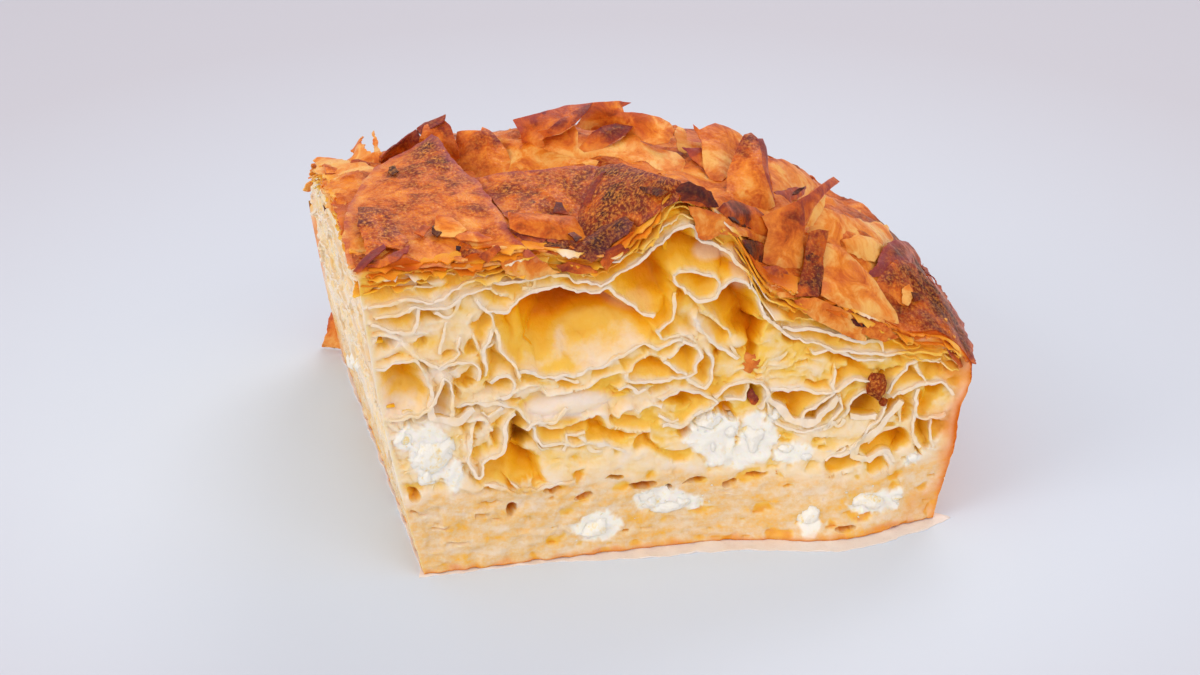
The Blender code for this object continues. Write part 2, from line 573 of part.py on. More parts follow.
def front_limit(x, z):
    """Cells stay shallow beside the corner, the rim and the crust."""
    corner = x - left_cut(0, z)
    rim = RIGHT_EDGE - wall_inset(z) - x
    roof = crust_height(x, 0) - z
    beside_corner = 0.4 + 1.0 * max(corner - 0.7, 0)
    beside_rim = 0.2 + 1.2 * max(rim - 1.6, 0)
    below_crust = 0.3 + 1.6 * max(roof - 1.4, 0)
    return min(beside_corner, beside_rim, below_crust)


def left_limit(y, z):
    """The same on the left cut."""
    back = BACK_EDGE - wall_inset(z) - y
    roof = crust_height(left_cut(y, z), y) - z
    beside_corner = 0.2 + 0.8 * max(y - 1.6, 0)
    beside_rim = 0.2 + 0.9 * max(back - 1.6, 0)
    below_crust = 0.2 + 1.2 * max(roof - 1.6, 0)
    return min(beside_corner, beside_rim, below_crust)


def front_base_depth(z):
    """Depth between the front sheets: nearly flat in the custard, open above it."""
    return 0.45 + 4.6 * smooth_step((z - 12.5) / 14)


def left_base_depth(z):
    return 0.4 + 3.0 * smooth_step((z - 13) / 10)


def left_sheets():
    """Sheet edges on the left cut: wavy lines that meet in places, joined by short folds."""
    chance = random.Random(11)
    sheets, lines = [], []
    for row in range(LEFT_ROWS):
        height = LEFT_LOW_SHARE + (LEFT_HIGH_SHARE - LEFT_LOW_SHARE) * row / LEFT_ROWS
        phase = chance.uniform(0, 6.3)
        line = []
        for y in range(-1, 88, 8):
            top = crust_height(left_cut(y, 40), y) - 1
            wave = 1.2 * math.sin(y / 7.5 + phase) + chance.uniform(-0.7, 0.7)
            line.append((y, top * height + wave * (0.6 + 0.5 * height)))
        lines.append(line)
        sheets.append((0.0, line))
    for low, high in zip(lines, lines[1:]):
        for k in range(1, len(low) - 1):
            if chance.random() < LEFT_FOLD_SHARE:
                shift = chance.uniform(-3, 3)
                (ya, za), (yb, zb) = low[k], high[k]
                middle = ((ya + yb) / 2 + shift * 0.2, (za + zb) / 2)
                sheets.append((0.0, [(ya + shift, za), middle, (yb - shift, zb)]))
    return sheets


def cheese_mesh(size, seed, grow=0.0):
    """A crumbly lump: a ball with knocked corners, of the given full size."""
    mesh = bmesh.new()
    bmesh.ops.create_icosphere(mesh, subdivisions=2, radius=1)
    for vert in mesh.verts:
        way = vert.co.normalized()
        dents = 0.16 * noise.noise(way * 1.7 + Vector((seed * 3.7, 0, 0)))
        crumbs = 0.07 * noise.noise(way * 4 + Vector((0, seed, 0)))
        square = 0.93 * max(abs(way.x), abs(way.y), abs(way.z)) ** -0.35
        reach = (1 + dents + crumbs) * square
        vert.co = Vector([way[k] * (size[k] / 2 + grow) * reach for k in range(3)]) * MM
    return mesh


def cheese_place(side, along, high, deep):
    """Middle of a lump that shows in a cut, which leaves a quarter of it standing proud."""
    back = deep * 0.24
    if side == "front":
        return Vector((along, front_bow(along, high) + back, high))
    return Vector((left_cut(along, high) + back, along, high))


def make_cheese():
    """Each lump with the slightly larger hollow that it lies in."""
    lumps = []
    for k, (name, side, along, high, wide, deep, tall) in enumerate(CHEESE):
        size = (wide, deep, tall) if side == "front" else (deep, wide, tall)
        place = cheese_place(side, along, high, deep) * MM
        lump = make_object(name, cheese_mesh(size, k), PARTS)
        hollow = make_object(name + "_hollow", cheese_mesh(size, k, NODE_GAP + 0.12), CUTTERS)
        for obj in (lump, hollow):
            obj.data.transform(Matrix.Translation(place))
        lumps.append((lump, hollow))
    return lumps


def flake_object(name, surface, columns, rows):
    """A thin plate over a surface function of two shares from 0 to 1."""
    mesh = bmesh.new()
    bmesh.ops.create_grid(mesh, x_segments=columns, y_segments=rows, size=0.5)
    for vert in mesh.verts:
        vert.co = Vector(surface(vert.co.x + 0.5, vert.co.y + 0.5)) * MM
    obj = make_object(name, mesh, FLAKES)
    obj.hide_render = True
    wall = obj.modifiers.new("Thickness", "SOLIDIFY")
    wall.thickness = FLAKE_THICKNESS * MM
    wall.offset = 0
    return obj


def crust_flake(index, corners, bow):
    """A flake that grows out of the crust along its root and stands free at its far edge."""
    root_a, root_b, free_b, free_a = [Vector(c) for c in corners]

    def surface(across, out):
        ragged = 1 + 0.10 * math.sin(index * 2.3 + across * 7) * out
        place = root_a.lerp(root_b, across).lerp(free_a.lerp(free_b, across), out * ragged)
        lift = place.z + bow * 4 * across * (1 - across) * out
        ground = crust_height(place.x, place.y) + 0.6 * crumple(place.x, place.y) * (1 - out)
        return place.x, place.y, ground + lift

    size = max((root_a - free_a).length, (root_a - root_b).length)
    parts = 3 if size > 20 else 2
    return flake_object("flake_%02d" % index, surface, parts, parts)


def far_flakes():
    """The crust towards the back, which goes on as it shows in front."""
    chance = random.Random(5)
    flakes = []
    y = FAR_FLAKE_START
    while y < BACK_EDGE - 4:
        x = 4.0
        while x < right_edge(y) - 8:
            middle = Vector((x + chance.uniform(-3, 3), y + chance.uniform(-3, 3), 0))
            turn = math.radians(chance.uniform(-60, 60))
            long, wide = chance.uniform(5, 8), chance.uniform(5, 8)
            out = Vector((math.sin(turn), -math.cos(turn), 0))
            side = Vector((math.cos(turn), math.sin(turn), 0))
            tip = chance.uniform(0.4, 0.9)
            lift = chance.uniform(1.4, 3.4)
            corners = [middle - out * long + side * wide, middle - out * long - side * wide,
                       middle + out * long - side * wide * tip, middle + out * long + side * wide * tip]
            heights = (-0.8, -0.8, lift, lift * 0.8)
            flakes.append(([(c.x, min(c.y, BACK_EDGE - 3), h) for c, h in zip(corners, heights)], 0.6))
            x += FAR_FLAKE_SPACING
        y += FAR_FLAKE_SPACING * 0.8
    return flakes


def corner_flap():
    """The brown strip of crust that sticks out at the back left foot."""
    def surface(out, up):
        z = 1.6 + up * 8.4 * (1 - 0.15 * out) + 0.3 * out
        return 5.5 - 5.0 * out, BACK_EDGE - wall_inset(z) - 0.4 + 1.0 * out, z
    return flake_object("corner_flap", surface, 3, 2)


def base_front(x):
    """Front edge of the bottom sheet, which peeps out from under the slice."""
    film = 3.6 * smooth_step((x - 20) / 22) * smooth_step((94 - x) / 8)
    return front_bow(x, 0) - 0.5 - film - 0.5 * noise.noise(Vector((x / 4, 2.0, 0)))


def make_base_sheet():
    """The thin flat sheet under the slice, with a ragged outline."""
    mesh = bmesh.new()
    front = [Vector((x, base_front(x), 0)) for x in np.linspace(-0.9, 91.0, 30)]
    pan = []
    for k in range(26):
        point = pan_edge(k / 25, wall_inset(0) - 0.2)
        if point.y > 1.5 and point.x > left_cut(point.y, 0):
            pan.append(point.to_3d())
    left = []
    for y in np.linspace(BACK_EDGE - wall_inset(0) - 0.4, 3, 16):
        ragged = 0.8 + 0.3 * noise.noise(Vector((y / 5, 7.0, 0)))
        left.append(Vector((left_cut(y, 0) - ragged, y, 0)))
    verts = [mesh.verts.new(p * MM) for p in front + pan + left]
    face = mesh.faces.new(verts)
    top = bmesh.ops.extrude_face_region(mesh, geom=[face])["geom"]
    for vert in [g for g in top if isinstance(g, bmesh.types.BMVert)]:
        vert.co.z = BASE_SHEET * MM
    bmesh.ops.recalc_face_normals(mesh, faces=mesh.faces)
    bmesh.ops.triangulate(mesh, faces=mesh.faces)
    return make_object("bottom_sheet", mesh, PARTS)


def centre_on_base(objects):
    """Moves every mesh so that the middle of the slice's base is the origin."""
    corners = [v.co for obj in objects for v in obj.data.vertices]
    low = Vector([min(c[k] for c in corners) for k in range(3)])
    high = Vector([max(c[k] for c in corners) for k in range(3)])
    shift = Vector((-(low.x + high.x) / 2, -(low.y + high.y) / 2, -low.z))
    for obj in objects:
        for vert in obj.data.vertices:
            vert.co += shift
    print("slice of", [round((high[k] - low[k]) / MM, 1) for k in range(3)], "mm, moved by",
          [round(shift[k] / MM, 2) for k in range(3)])


for old in list(bpy.data.objects):
    bpy.data.objects.remove(old, do_unlink=True)
PARTS = make_collection("gibanica")
CUTTERS = make_collection("cutters")
FLAKES = make_collection("flakes")


def make_blocks():
    """The uncut pastry, the uncut custard, and the hollow in the pastry that the custard fills."""
    floor = BASE_SHEET + NODE_GAP
    walls = [(h, i) for h, i in WALL_PROFILE if h > floor] + [(floor, wall_inset(floor))]

    def crust_top(x, y):
        return crust_height(x, y) + crumple(x, y)

    def hollow_top(x, y):
        return custard_top(x, y) + NODE_GAP

    def custard_walls(grow):
        knee = WALL_PROFILE[-2][0]
        bottom = floor - 4 * grow
        return [(h, wall_inset(h) + CRUST_SKIRT - grow) for h in (knee, bottom)]

    inset = wall_inset(CUSTARD_HEIGHT) + CRUST_SKIRT
    pastry = slice_block("pastry", PARTS, TOP_GRID, crust_top, walls, 0.0)
    custard = slice_block("custard_layer", PARTS, CUSTARD_GRID, custard_top, custard_walls(0), inset)
    hollow = slice_block("custard_hollow", CUTTERS, CUSTARD_GRID, hollow_top, custard_walls(NODE_GAP),
                         inset - NODE_GAP)
    return pastry, custard, hollow


def make_cutters():
    """The two knives, each with the relief of its cut."""
    front = CutFace(FRONT_SHEETS, FRONT_CELLS + FRONT_TIGHT, FRONT_HOLES, front_base_depth, front_limit,
                    FRONT_REGION, FRONT_SPACING, FRONT_STEP)
    left = CutFace(left_sheets(), [], [], left_base_depth, left_limit, LEFT_REGION, LEFT_SPACING, LEFT_STEP)

    def on_front(x, z, depth):
        return x, front_bow(x, z) + depth, z

    def on_left(y, z, depth):
        return left_cut(y, z) + depth, y, z

    def pull_forward(vert):
        vert.co.y = CUTTER_FRONT * MM

    def pull_left(vert):
        vert.co.x = CUTTER_LEFT * MM

    return front.cutter("front_cut", on_front, pull_forward), left.cutter("left_cut", on_left, pull_left)


def join_flakes(pastry):
    """All flakes become one body with the pastry."""
    for k, (corners, bow) in enumerate(CRUST_FLAKES + far_flakes()):
        crust_flake(k, corners, bow)
    corner_flap()
    boolean(pastry, FLAKES, "UNION", "MANIFOLD")
    for flake in list(FLAKES.objects):
        bpy.data.objects.remove(flake, do_unlink=True)


def main():
    pastry, custard, custard_hollow = make_blocks()
    knives = make_cutters()
    for obj in (pastry, custard):
        for knife in knives:
            boolean(obj, knife, "DIFFERENCE")
    boolean(pastry, custard_hollow, "DIFFERENCE")
    cheese = make_cheese()
    for _, hollow in cheese:
        boolean(pastry, hollow, "DIFFERENCE")
        boolean(custard, hollow, "DIFFERENCE")
    join_flakes(pastry)
    base = make_base_sheet()

    looks = [(pastry, "baked phyllo", PHYLLO_COLOUR, 0.55),
             (custard, "egg custard", CUSTARD_COLOUR, 0.5),
             (base, "bottom phyllo", BASE_COLOUR, 0.6)]
    looks += [(lump, lump.name.replace("_", " "), CHEESE_COLOUR, 0.7) for lump, _ in cheese]
    for obj, name, colour, roughness in looks:
        obj.data.materials.clear()
        obj.data.materials.append(make_material(name, colour, roughness))
    centre_on_base([obj for obj, _, _, _ in looks])


main()
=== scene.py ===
import math
import random

import bmesh
import bpy
import numpy as np
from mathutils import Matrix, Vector, noise
from mathutils.geometry import delaunay_2d_cdt


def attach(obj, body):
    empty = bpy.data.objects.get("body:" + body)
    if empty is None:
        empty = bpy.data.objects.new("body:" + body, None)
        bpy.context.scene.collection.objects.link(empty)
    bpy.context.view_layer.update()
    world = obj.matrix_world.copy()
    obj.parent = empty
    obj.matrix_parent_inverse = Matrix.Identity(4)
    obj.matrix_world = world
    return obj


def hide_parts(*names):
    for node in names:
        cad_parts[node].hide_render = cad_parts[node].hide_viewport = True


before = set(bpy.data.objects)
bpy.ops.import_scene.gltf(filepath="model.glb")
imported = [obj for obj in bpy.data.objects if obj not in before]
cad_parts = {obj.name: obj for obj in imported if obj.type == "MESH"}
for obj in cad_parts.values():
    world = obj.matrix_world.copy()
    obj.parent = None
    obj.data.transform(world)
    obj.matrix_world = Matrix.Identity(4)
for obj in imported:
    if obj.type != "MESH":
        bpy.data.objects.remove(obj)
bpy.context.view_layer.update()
print("frame loaded:", len(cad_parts), "nodes")

# The slice in mm, measured from its front left bottom corner: x along the front cut, y into
# the pie, z up. toFrame turns these into the frame's metres.
mm = 0.001
pie = {
    "corner": (-42.97, -40.01, 0.0),  # that corner in the frame, in mm
    "rightEdge": 94.6,
    "backEdge": 89.5,
    "cornerRadius": 38.0,
    "bulge": 2.0,
    "bulgeLength": 62.0,
    "spareFront": 14.0,        # how far the uncut block reaches past the cuts
    "spareLeft": 20.0,
    "floor": 0.3,
    "rimHeight": 34.0,
    "crownHeight": 25.0,
    "crownAcross": (62.0, 2.2),  # run and power of its rise from the right edge
    "crownAlong": (80.0, 2.4),   # and from the back edge
    "rollWidth": 10.0,
    "rollDrop": 6.0,
    "backRightDrop": 3.0,
    "frontLeftDrop": 1.4,
    "frontHumps": ((44.5, 6.5, 16.0, 7.5), (30.0, 8.0, 14.0, -3.0)),  # x, widths along and in, rise
    "shoulderX": 52.0,
    "shoulderDip": 8.5,
    "leftSkew": 0.0446,
    "leftLean": 0.186,
    "leftSwell": 1.2,
    "cutHeight": 57.0,
    "footSwell": 5.4,
    "footSwellX": 71.0,
    "custardHeight": 13.4,
    "wall": [(24.7, 0.0), (20.4, 1.9), (13.3, 2.9), (6.9, 4.6), (0.0, 6.6)],  # height, inset
}


def toFrame(points):
    return (np.asarray(points, float) + pie["corner"]) * mm


def smoothStep(t):
    t = np.clip(t, 0, 1)
    return t * t * (3 - 2 * t)


def bell(distance, width):
    return np.exp(-(distance / width) ** 2)


def arch(t):
    return np.sin(np.pi * np.clip(t, 0, 1))


def noiseAt(x, y, z):
    x, y, z = np.broadcast_arrays(x, y, z)
    points = np.stack([x.ravel(), y.ravel(), z.ravel()], 1)
    return np.array([noise.noise(p) for p in points.tolist()]).reshape(x.shape)


def rightEdge(y):
    edge = pie["rightEdge"] + pie["bulge"] * arch(y / pie["bulgeLength"])
    back = np.maximum(y - (pie["backEdge"] - pie["cornerRadius"]), 0)
    return edge - pie["cornerRadius"] + np.sqrt(np.maximum(pie["cornerRadius"] ** 2 - back ** 2, 0))


def backEdge(x):
    side = np.maximum(x - (pie["rightEdge"] - pie["cornerRadius"]), 0)
    run = np.sqrt(np.maximum(pie["cornerRadius"] ** 2 - side ** 2, 0))
    return pie["backEdge"] - pie["cornerRadius"] + run


def crustHeight(x, y):
    away = np.maximum(rightEdge(y) - x, 0), np.maximum(backEdge(x) - y, 0)
    across, along = [1 - (1 - np.minimum(gap / run, 1)) ** power
                     for gap, (run, power) in zip(away, (pie["crownAcross"], pie["crownAlong"]))]
    z = pie["rimHeight"] + pie["crownHeight"] * across * (0.06 + 0.94 * along)
    z = z - pie["rollDrop"] * np.maximum(1 - np.minimum(*away) / pie["rollWidth"], 0) ** 2
    z = z - pie["backRightDrop"] * smoothStep((x - 70) / 20) * smoothStep((y - 35) / 25)
    y = np.maximum(y, 0)
    z = z - pie["frontLeftDrop"] * bell(y, 12) * smoothStep((24 - x) / 20)
    for middle, wide, deep, rise in pie["frontHumps"]:
        z = z + rise * bell(x - middle, wide) * bell(y, deep)
    dip = pie["shoulderDip"] * smoothStep((x - pie["shoulderX"]) / 8)
    return z - dip * bell(y, 9) * smoothStep((96 - x) / 14)


def crumple(x, y):
    fold = np.abs(noiseAt(x / 11, y / 15, 3.1)) * 3.2
    return 1.1 - fold + noiseAt(x / 4.5, y / 5.5, 9.7) * 0.9


def custardTop(x, y):
    z = pie["custardHeight"] + 1.2 * np.sin(x / 16 + 0.6) * np.cos(y / 19)
    return z - 2.2 * smoothStep((x - 52) / 24) + 0.5 * noiseAt(x / 9, y / 9, 5.0)


def wallInset(z):
    heights, insets = zip(*reversed(pie["wall"]))
    return np.interp(z, heights, insets)


def leftCut(y, z):
    lean = pie["leftLean"] * z * (1 - 0.004 * y)
    return pie["leftSkew"] * y - lean - pie["leftSwell"] * arch(z / pie["cutHeight"])


def frontBow(x, z):
    return -pie["footSwell"] * bell(x - pie["footSwellX"], 14) * np.maximum(1 - z / 30, 0) ** 2


# Objects, meshes and attributes
def linkObject(name, data):
    obj = bpy.data.objects.new(name, data)
    bpy.context.scene.collection.objects.link(obj)
    return obj


def meshObject(name, mesh):
    data = bpy.data.meshes.new(name)
    mesh.to_mesh(data)
    mesh.free()
    return linkObject(name, data)


def editMesh(data, change):
    mesh = bmesh.new()
    mesh.from_mesh(data)
    change(mesh)
    mesh.to_mesh(data)
    mesh.free()


def turnOutwards(mesh):
    bmesh.ops.recalc_face_normals(mesh, faces=mesh.faces)


def objectFrom(name, points, faces):
    # points in mm from the slice's corner
    data = bpy.data.meshes.new(name)
    data.from_pydata(toFrame(points).tolist(), [], faces)
    return linkObject(name, data)


def evaluatedMesh(obj):
    bpy.context.view_layer.update()
    return bpy.data.meshes.new_from_object(obj.evaluated_get(bpy.context.evaluated_depsgraph_get()))


def coordinates(obj):
    flat = np.empty(len(obj.data.vertices) * 3, np.float32)
    obj.data.vertices.foreach_get("co", flat)
    return flat.reshape(-1, 3).astype(float)


def movePoints(obj, points):
    obj.data.vertices.foreach_set("co", toFrame(points).astype(np.float32).ravel())
    obj.data.update()


def placesOn(obj):
    # x, y and z of its vertices, in mm from the slice's corner
    return (coordinates(obj) / mm - pie["corner"]).T


def setAttributes(obj, **named):
    # one value for each vertex, or the same for all of them
    for name, values in named.items():
        layer = obj.data.attributes.get(name) or obj.data.attributes.new(name, "FLOAT", "POINT")
        flat = np.empty(len(obj.data.vertices), np.float32)
        flat[:] = values
        layer.data.foreach_set("value", flat)


def setMaterial(obj, material):
    obj.data.materials.clear()
    obj.data.materials.append(material)


def finishPiece(obj, slot, *replaced, sharpFrom=60):
    obj.data.shade_smooth()
    obj.data.set_sharp_from_angle(angle=math.radians(sharpFrom))
    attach(obj, "root")
    if replaced:
        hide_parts(*replaced)
    print(obj.name, len(obj.data.polygons), "faces")


# Small helpers for node trees: an output's own tree is the tree that its followers go into
def connect(value, socket):
    if isinstance(value, bpy.types.NodeSocket):
        socket.id_data.links.new(value, socket)
    else:
        socket.default_value = value


def addNode(tree, kind, inputs=(), **settings):
    # inputs: name or number of a socket, and a value or another node's output for it
    node = tree.nodes.new(kind)
    for name, value in settings.items():
        setattr(node, name, value)
    for name, value in dict(inputs).items():
        connect(value, node.inputs[name])
    return node


def treeOf(*values):
    return next(v.id_data for v in values if isinstance(v, bpy.types.NodeSocket))


def addMath(operation, a, b):
    return addNode(treeOf(a, b), "ShaderNodeMath", {0: a, 1: b}, operation=operation).outputs[0]


def plus(a, b):
    return addMath("ADD", a, b)


def minus(a, b):
    return addMath("SUBTRACT", a, b)


def times(a, b):
    return addMath("MULTIPLY", a, b)


def mapRange(value, low, high, toLow=0.0, toHigh=1.0):
    limits = {"From Min": low, "From Max": high, "To Min": toLow, "To Max": toHigh}
    return addNode(treeOf(value), "ShaderNodeMapRange", {"Value": value, **limits}).outputs["Result"]


def addRamp(factor, stops):
    node = addNode(treeOf(factor), "ShaderNodeValToRGB", {"Fac": factor})
    while len(node.color_ramp.elements) < len(stops):
        node.color_ramp.elements.new(0.5)
    for element, (place, colour) in zip(node.color_ramp.elements, stops):
        element.position = place
        element.color = (*colour, 1)
    return node.outputs["Color"]


def addMix(factor, a, b):
    node = addNode(treeOf(factor), "ShaderNodeMix", {0: factor}, data_type="RGBA")
    colours = [socket for socket in node.inputs if socket.type == "RGBA"]
    for socket, value in zip(colours, (a, b)):
        connect((*value, 1) if isinstance(value, tuple) else value, socket)
    return next(socket for socket in node.outputs if socket.type == "RGBA")


def addNoise(vector, scale, detail=2.0, roughness=0.5, distortion=0.0):
    values = {"Vector": vector, "Scale": scale, "Detail": detail, "Roughness": roughness,
              "Distortion": distortion}
    return addNode(treeOf(vector), "ShaderNodeTexNoise", values).outputs["Fac"]


def addGroup(group, inputs):
    return addNode(treeOf(*inputs.values()), "ShaderNodeGroup", inputs, node_tree=group).outputs


def attribute(tree, name):
    return addNode(tree, "ShaderNodeAttribute", attribute_name=name).outputs["Fac"]


def newGroup(name, kind, inputs, outputs):
    # inputs and outputs: label, kind of socket and, where it has one, value
    tree = bpy.data.node_groups.new(name, kind)
    for way, sockets in (("INPUT", inputs), ("OUTPUT", outputs)):
        for label, socketKind, *value in sockets:
            made = tree.interface.new_socket(name=label, in_out=way, socket_type="NodeSocket" + socketKind)
            if value:
                made.default_value = value[0]
    return tree, tree.nodes.new("NodeGroupInput").outputs, tree.nodes.new("NodeGroupOutput").inputs


def newMaterial(name, obj=None, **values):
    material = bpy.data.materials.new(name)
    material.use_nodes = True
    shader = material.node_tree.nodes["Principled BSDF"]
    for key, value in values.items():
        socket = key.replace("_", " ").title().replace("Ior", "IOR")
        shader.inputs[socket].default_value = value
    if obj:
        obj.data.materials.append(material)
    place = addNode(material.node_tree, "ShaderNodeTexCoord").outputs["Object"]
    return material, shader.inputs, place


# Camera, at the photograph's angle: the slice's front corner lies at a known pixel of the
# 1200 x 675 frame.
view = {
    "azimuth": -14.0,
    "elevation": 27.0,
    "distance": 1173.0,        # mm from the corner
    "pixelsPerMm": 6.0,        # at that distance
    "cornerPixel": (424, 577),
    "imageSize": (1200, 675),
    "sensor": 36.0,
    "nearest": 1040, "farthest": 1340, "rayStep": 0.4,  # mm from the camera where rays are followed
}


def viewFrame():
    # the camera's place in mm, and the directions back to it, right and up in its picture
    azimuth, elevation = math.radians(view["azimuth"]), math.radians(view["elevation"])
    back = np.array([math.sin(azimuth) * math.cos(elevation), -math.cos(azimuth) * math.cos(elevation),
                     math.sin(elevation)])
    right = np.array([math.cos(azimuth), math.sin(azimuth), 0])
    up = np.cross(back, right)
    offset = (np.array(view["cornerPixel"]) - np.array(view["imageSize"]) / 2) / view["pixelsPerMm"]
    return back * view["distance"] - right * offset[0] + up * offset[1], back, right, up


def aim(obj, back):
    obj.rotation_euler = (-Vector(back)).to_track_quat("-Z", "Y").to_euler()


def makeCamera():
    place, back, _, _ = viewFrame()
    data = bpy.data.cameras.new("camera")
    data.sensor_width = view["sensor"]
    data.lens = view["pixelsPerMm"] * view["distance"] / view["imageSize"][0] * view["sensor"]
    data.clip_start = 0.01
    camera = linkObject("camera", data)
    camera.location = toFrame(place)
    aim(camera, back)
    bpy.context.scene.camera = camera


def castRays(points, heightAbove):
    # follows the camera's rays through places in the picture until heightAbove is no longer positive
    eye, back, right, up = viewFrame()
    middle = np.array(view["imageSize"]) / 2
    reach = view["pixelsPerMm"] * view["distance"]
    rays = (points[:, :1] - middle[0]) * right - (points[:, 1:2] - middle[1]) * up - reach * back
    rays /= np.linalg.norm(rays, axis=1)[:, None]
    steps = np.arange(view["nearest"], view["farthest"], view["rayStep"])
    along = eye + rays[:, None] * steps[None, :, None]
    above = heightAbove(along)
    reached = (above <= 0).any(1)
    best = np.where(reached, (above <= 0).argmax(1), above.argmin(1))
    return along[np.arange(len(points)), best], rays


lights = {
    # name: place, size, power, colour
    "softLeft": ((-1.05, -0.35, 0.60), 0.9, 5.4, (1.0, 0.95, 0.90)),
    "softFront": ((0.30, -1.20, 0.75), 1.1, 4.25, (1.0, 0.95, 0.90)),
    "softBack": ((0.50, 0.75, 0.85), 0.6, 3.8, (1.0, 0.96, 0.93)),
}
studio = {
    "power": 0.78, "colour": (1.02, 0.965, 0.95),
    "floorSize": 6.0, "floorRoughness": 0.8,
    # painted light: a pool of light on the floor near the slice, darker far behind
    "floorPaintedLightTones": [(0.0, (0.68, 0.775, 0.90)), (0.25, (0.54, 0.545, 0.62)), (1.0, (0.37, 0.345, 0.41))],
    "floorReach": (0.05, 0.55),  # m from the slice, for the first and last of those tones
}


def makeStage():
    world = bpy.data.worlds.new("studio")
    world.use_nodes = True
    background = world.node_tree.nodes["Background"]
    background.inputs["Color"].default_value = (*studio["colour"], 1)
    background.inputs["Strength"].default_value = studio["power"]
    bpy.context.scene.world = world
    bpy.context.scene.view_settings.view_transform = "Standard"
    for name, (place, size, power, colour) in lights.items():
        data = bpy.data.lights.new(name, "AREA")
        data.energy = power
        data.size = size
        data.color = colour
        lamp = linkObject(name, data)
        lamp.location = place
        aim(lamp, place)
    mesh = bmesh.new()
    bmesh.ops.create_grid(mesh, x_segments=2, y_segments=2, size=studio["floorSize"] / 2)
    floor = meshObject("floor", mesh)
    # painted light: the floor is paler near the slice than far behind it
    material, shader, place = newMaterial("floorPaper", floor, roughness=studio["floorRoughness"])
    away = addNode(material.node_tree, "ShaderNodeVectorMath", {0: place}, operation="LENGTH")
    share = mapRange(away.outputs["Value"], *studio["floorReach"])
    connect(addRamp(share, studio["floorPaintedLightTones"]), shader["Base Color"])


makeCamera()
makeStage()
print("camera, light and floor made")

# Tones of the cut, the crust, the custard and the curd, each from the first to the last of its scale. The
# phyllo tones by depth are painted shade: cream at the sheets' edges, then golden and brown deeper in the
# cells.
phylloDepthShadeTones = [(0.0, (0.90, 0.77, 0.62)), (0.05, (0.92, 0.71, 0.42)), (0.11, (0.945, 0.605, 0.11)),
               (0.24, (0.94, 0.475, 0.013)), (0.48, (0.86, 0.31, 0.003)), (0.76, (0.60, 0.15, 0.002)),
               (1.0, (0.37, 0.075, 0.002))]
crustTones = [(0.0, (0.93, 0.49, 0.13)), (0.2, (0.82, 0.24, 0.020)), (0.4, (0.58, 0.105, 0.005)),
              (0.6, (0.25, 0.027, 0.003)), (0.8, (0.075, 0.009, 0.006)), (1.0, (0.020, 0.005, 0.009))]
custardTones = [(0.32, (0.90, 0.50, 0.09)), (0.43, (0.85, 0.55, 0.23)), (0.52, (0.84, 0.60, 0.33)),
                (0.68, (0.86, 0.70, 0.52))]
curdTones = [(0.26, (0.92, 0.70, 0.33)), (0.34, (0.93, 0.83, 0.62)), (0.43, (0.93, 0.89, 0.80)),
             (0.8, (0.95, 0.92, 0.86))]
warmColour = (0.40, 0.13, 0.008)   # painted shade of the deepest cells
veilColour = (0.87, 0.78, 0.72)    # a thin greyish sheet over the cut
rimColour = (0.36, 0.065, 0.085)   # torn edges of the flakes
paintedGlintColour = (0.98, 0.38, 0.055)  # painted highlights: bright glint specks on the crust
cutTexture = {
    "deepest": 13.0,               # mm, at the last of the phyllo tones
    "driftScale": 260.0, "drift": 0.20,
    "streakScale": 150.0, "streakStretch": (1.0, 1.0, 2.6),
    "fleckScale": 800.0, "fleck": 0.6,
    "browning": (0.02, 0.30),      # bake at which the crust's tones start and are full
}
bakedTexture = {
    "patch": 0.46, "spot": 0.6,    # how far patches and burnt spots change the tone
    # painted highlights: strength of the glint specks, more on darker bake, and how much glossier they are
    "paintedGlint": 0.25, "paintedGlintByBake": 0.7, "sparkGloss": 0.15,
    "roughness": 0.26, "roughByPatch": 0.26,
    "grain": 0.8, "bump": 0.7, "bumpDepth": 0.00028,
}


def makeGrainGroup():
    # fine skin of baked dough, as one height
    inputs = [("Vector", "Vector"), ("Size", "Float", 0.6)]
    tree, given, out = newGroup("bakedGrain", "ShaderNodeTree", inputs, [("Height", "Float")])
    scale = addMath("DIVIDE", 1000.0, given["Size"])
    connect(addNoise(given["Vector"], scale, 4.0, 0.6), out["Height"])
    return tree


def makeMottleGroup():
    # broad patches, fine glitter and burnt spots, each from 0 to 1
    tree, given, out = newGroup(
        "bakedMottle", "ShaderNodeTree",
        [("Vector", "Vector"), ("Patch Size", "Float", 5.0), ("Spot Size", "Float", 3.0)],
        [("Patch", "Float"), ("Glitter", "Float"), ("Spot", "Float")])
    patchScale = addMath("DIVIDE", 1000.0, given["Patch Size"])
    spotScale = addMath("DIVIDE", 1000.0, given["Spot Size"])
    for name, low, high, *texture in (("Patch", 0.32, 0.68, patchScale, 5.0, 0.65, 0.6),
                                      ("Glitter", 0.45, 0.72, 1900.0, 2.0, 0.7),
                                      ("Spot", 0.66, 0.76, spotScale, 3.0, 0.55, 0.3)):
        connect(mapRange(addNoise(given["Vector"], *texture), low, high), out[name])
    return tree


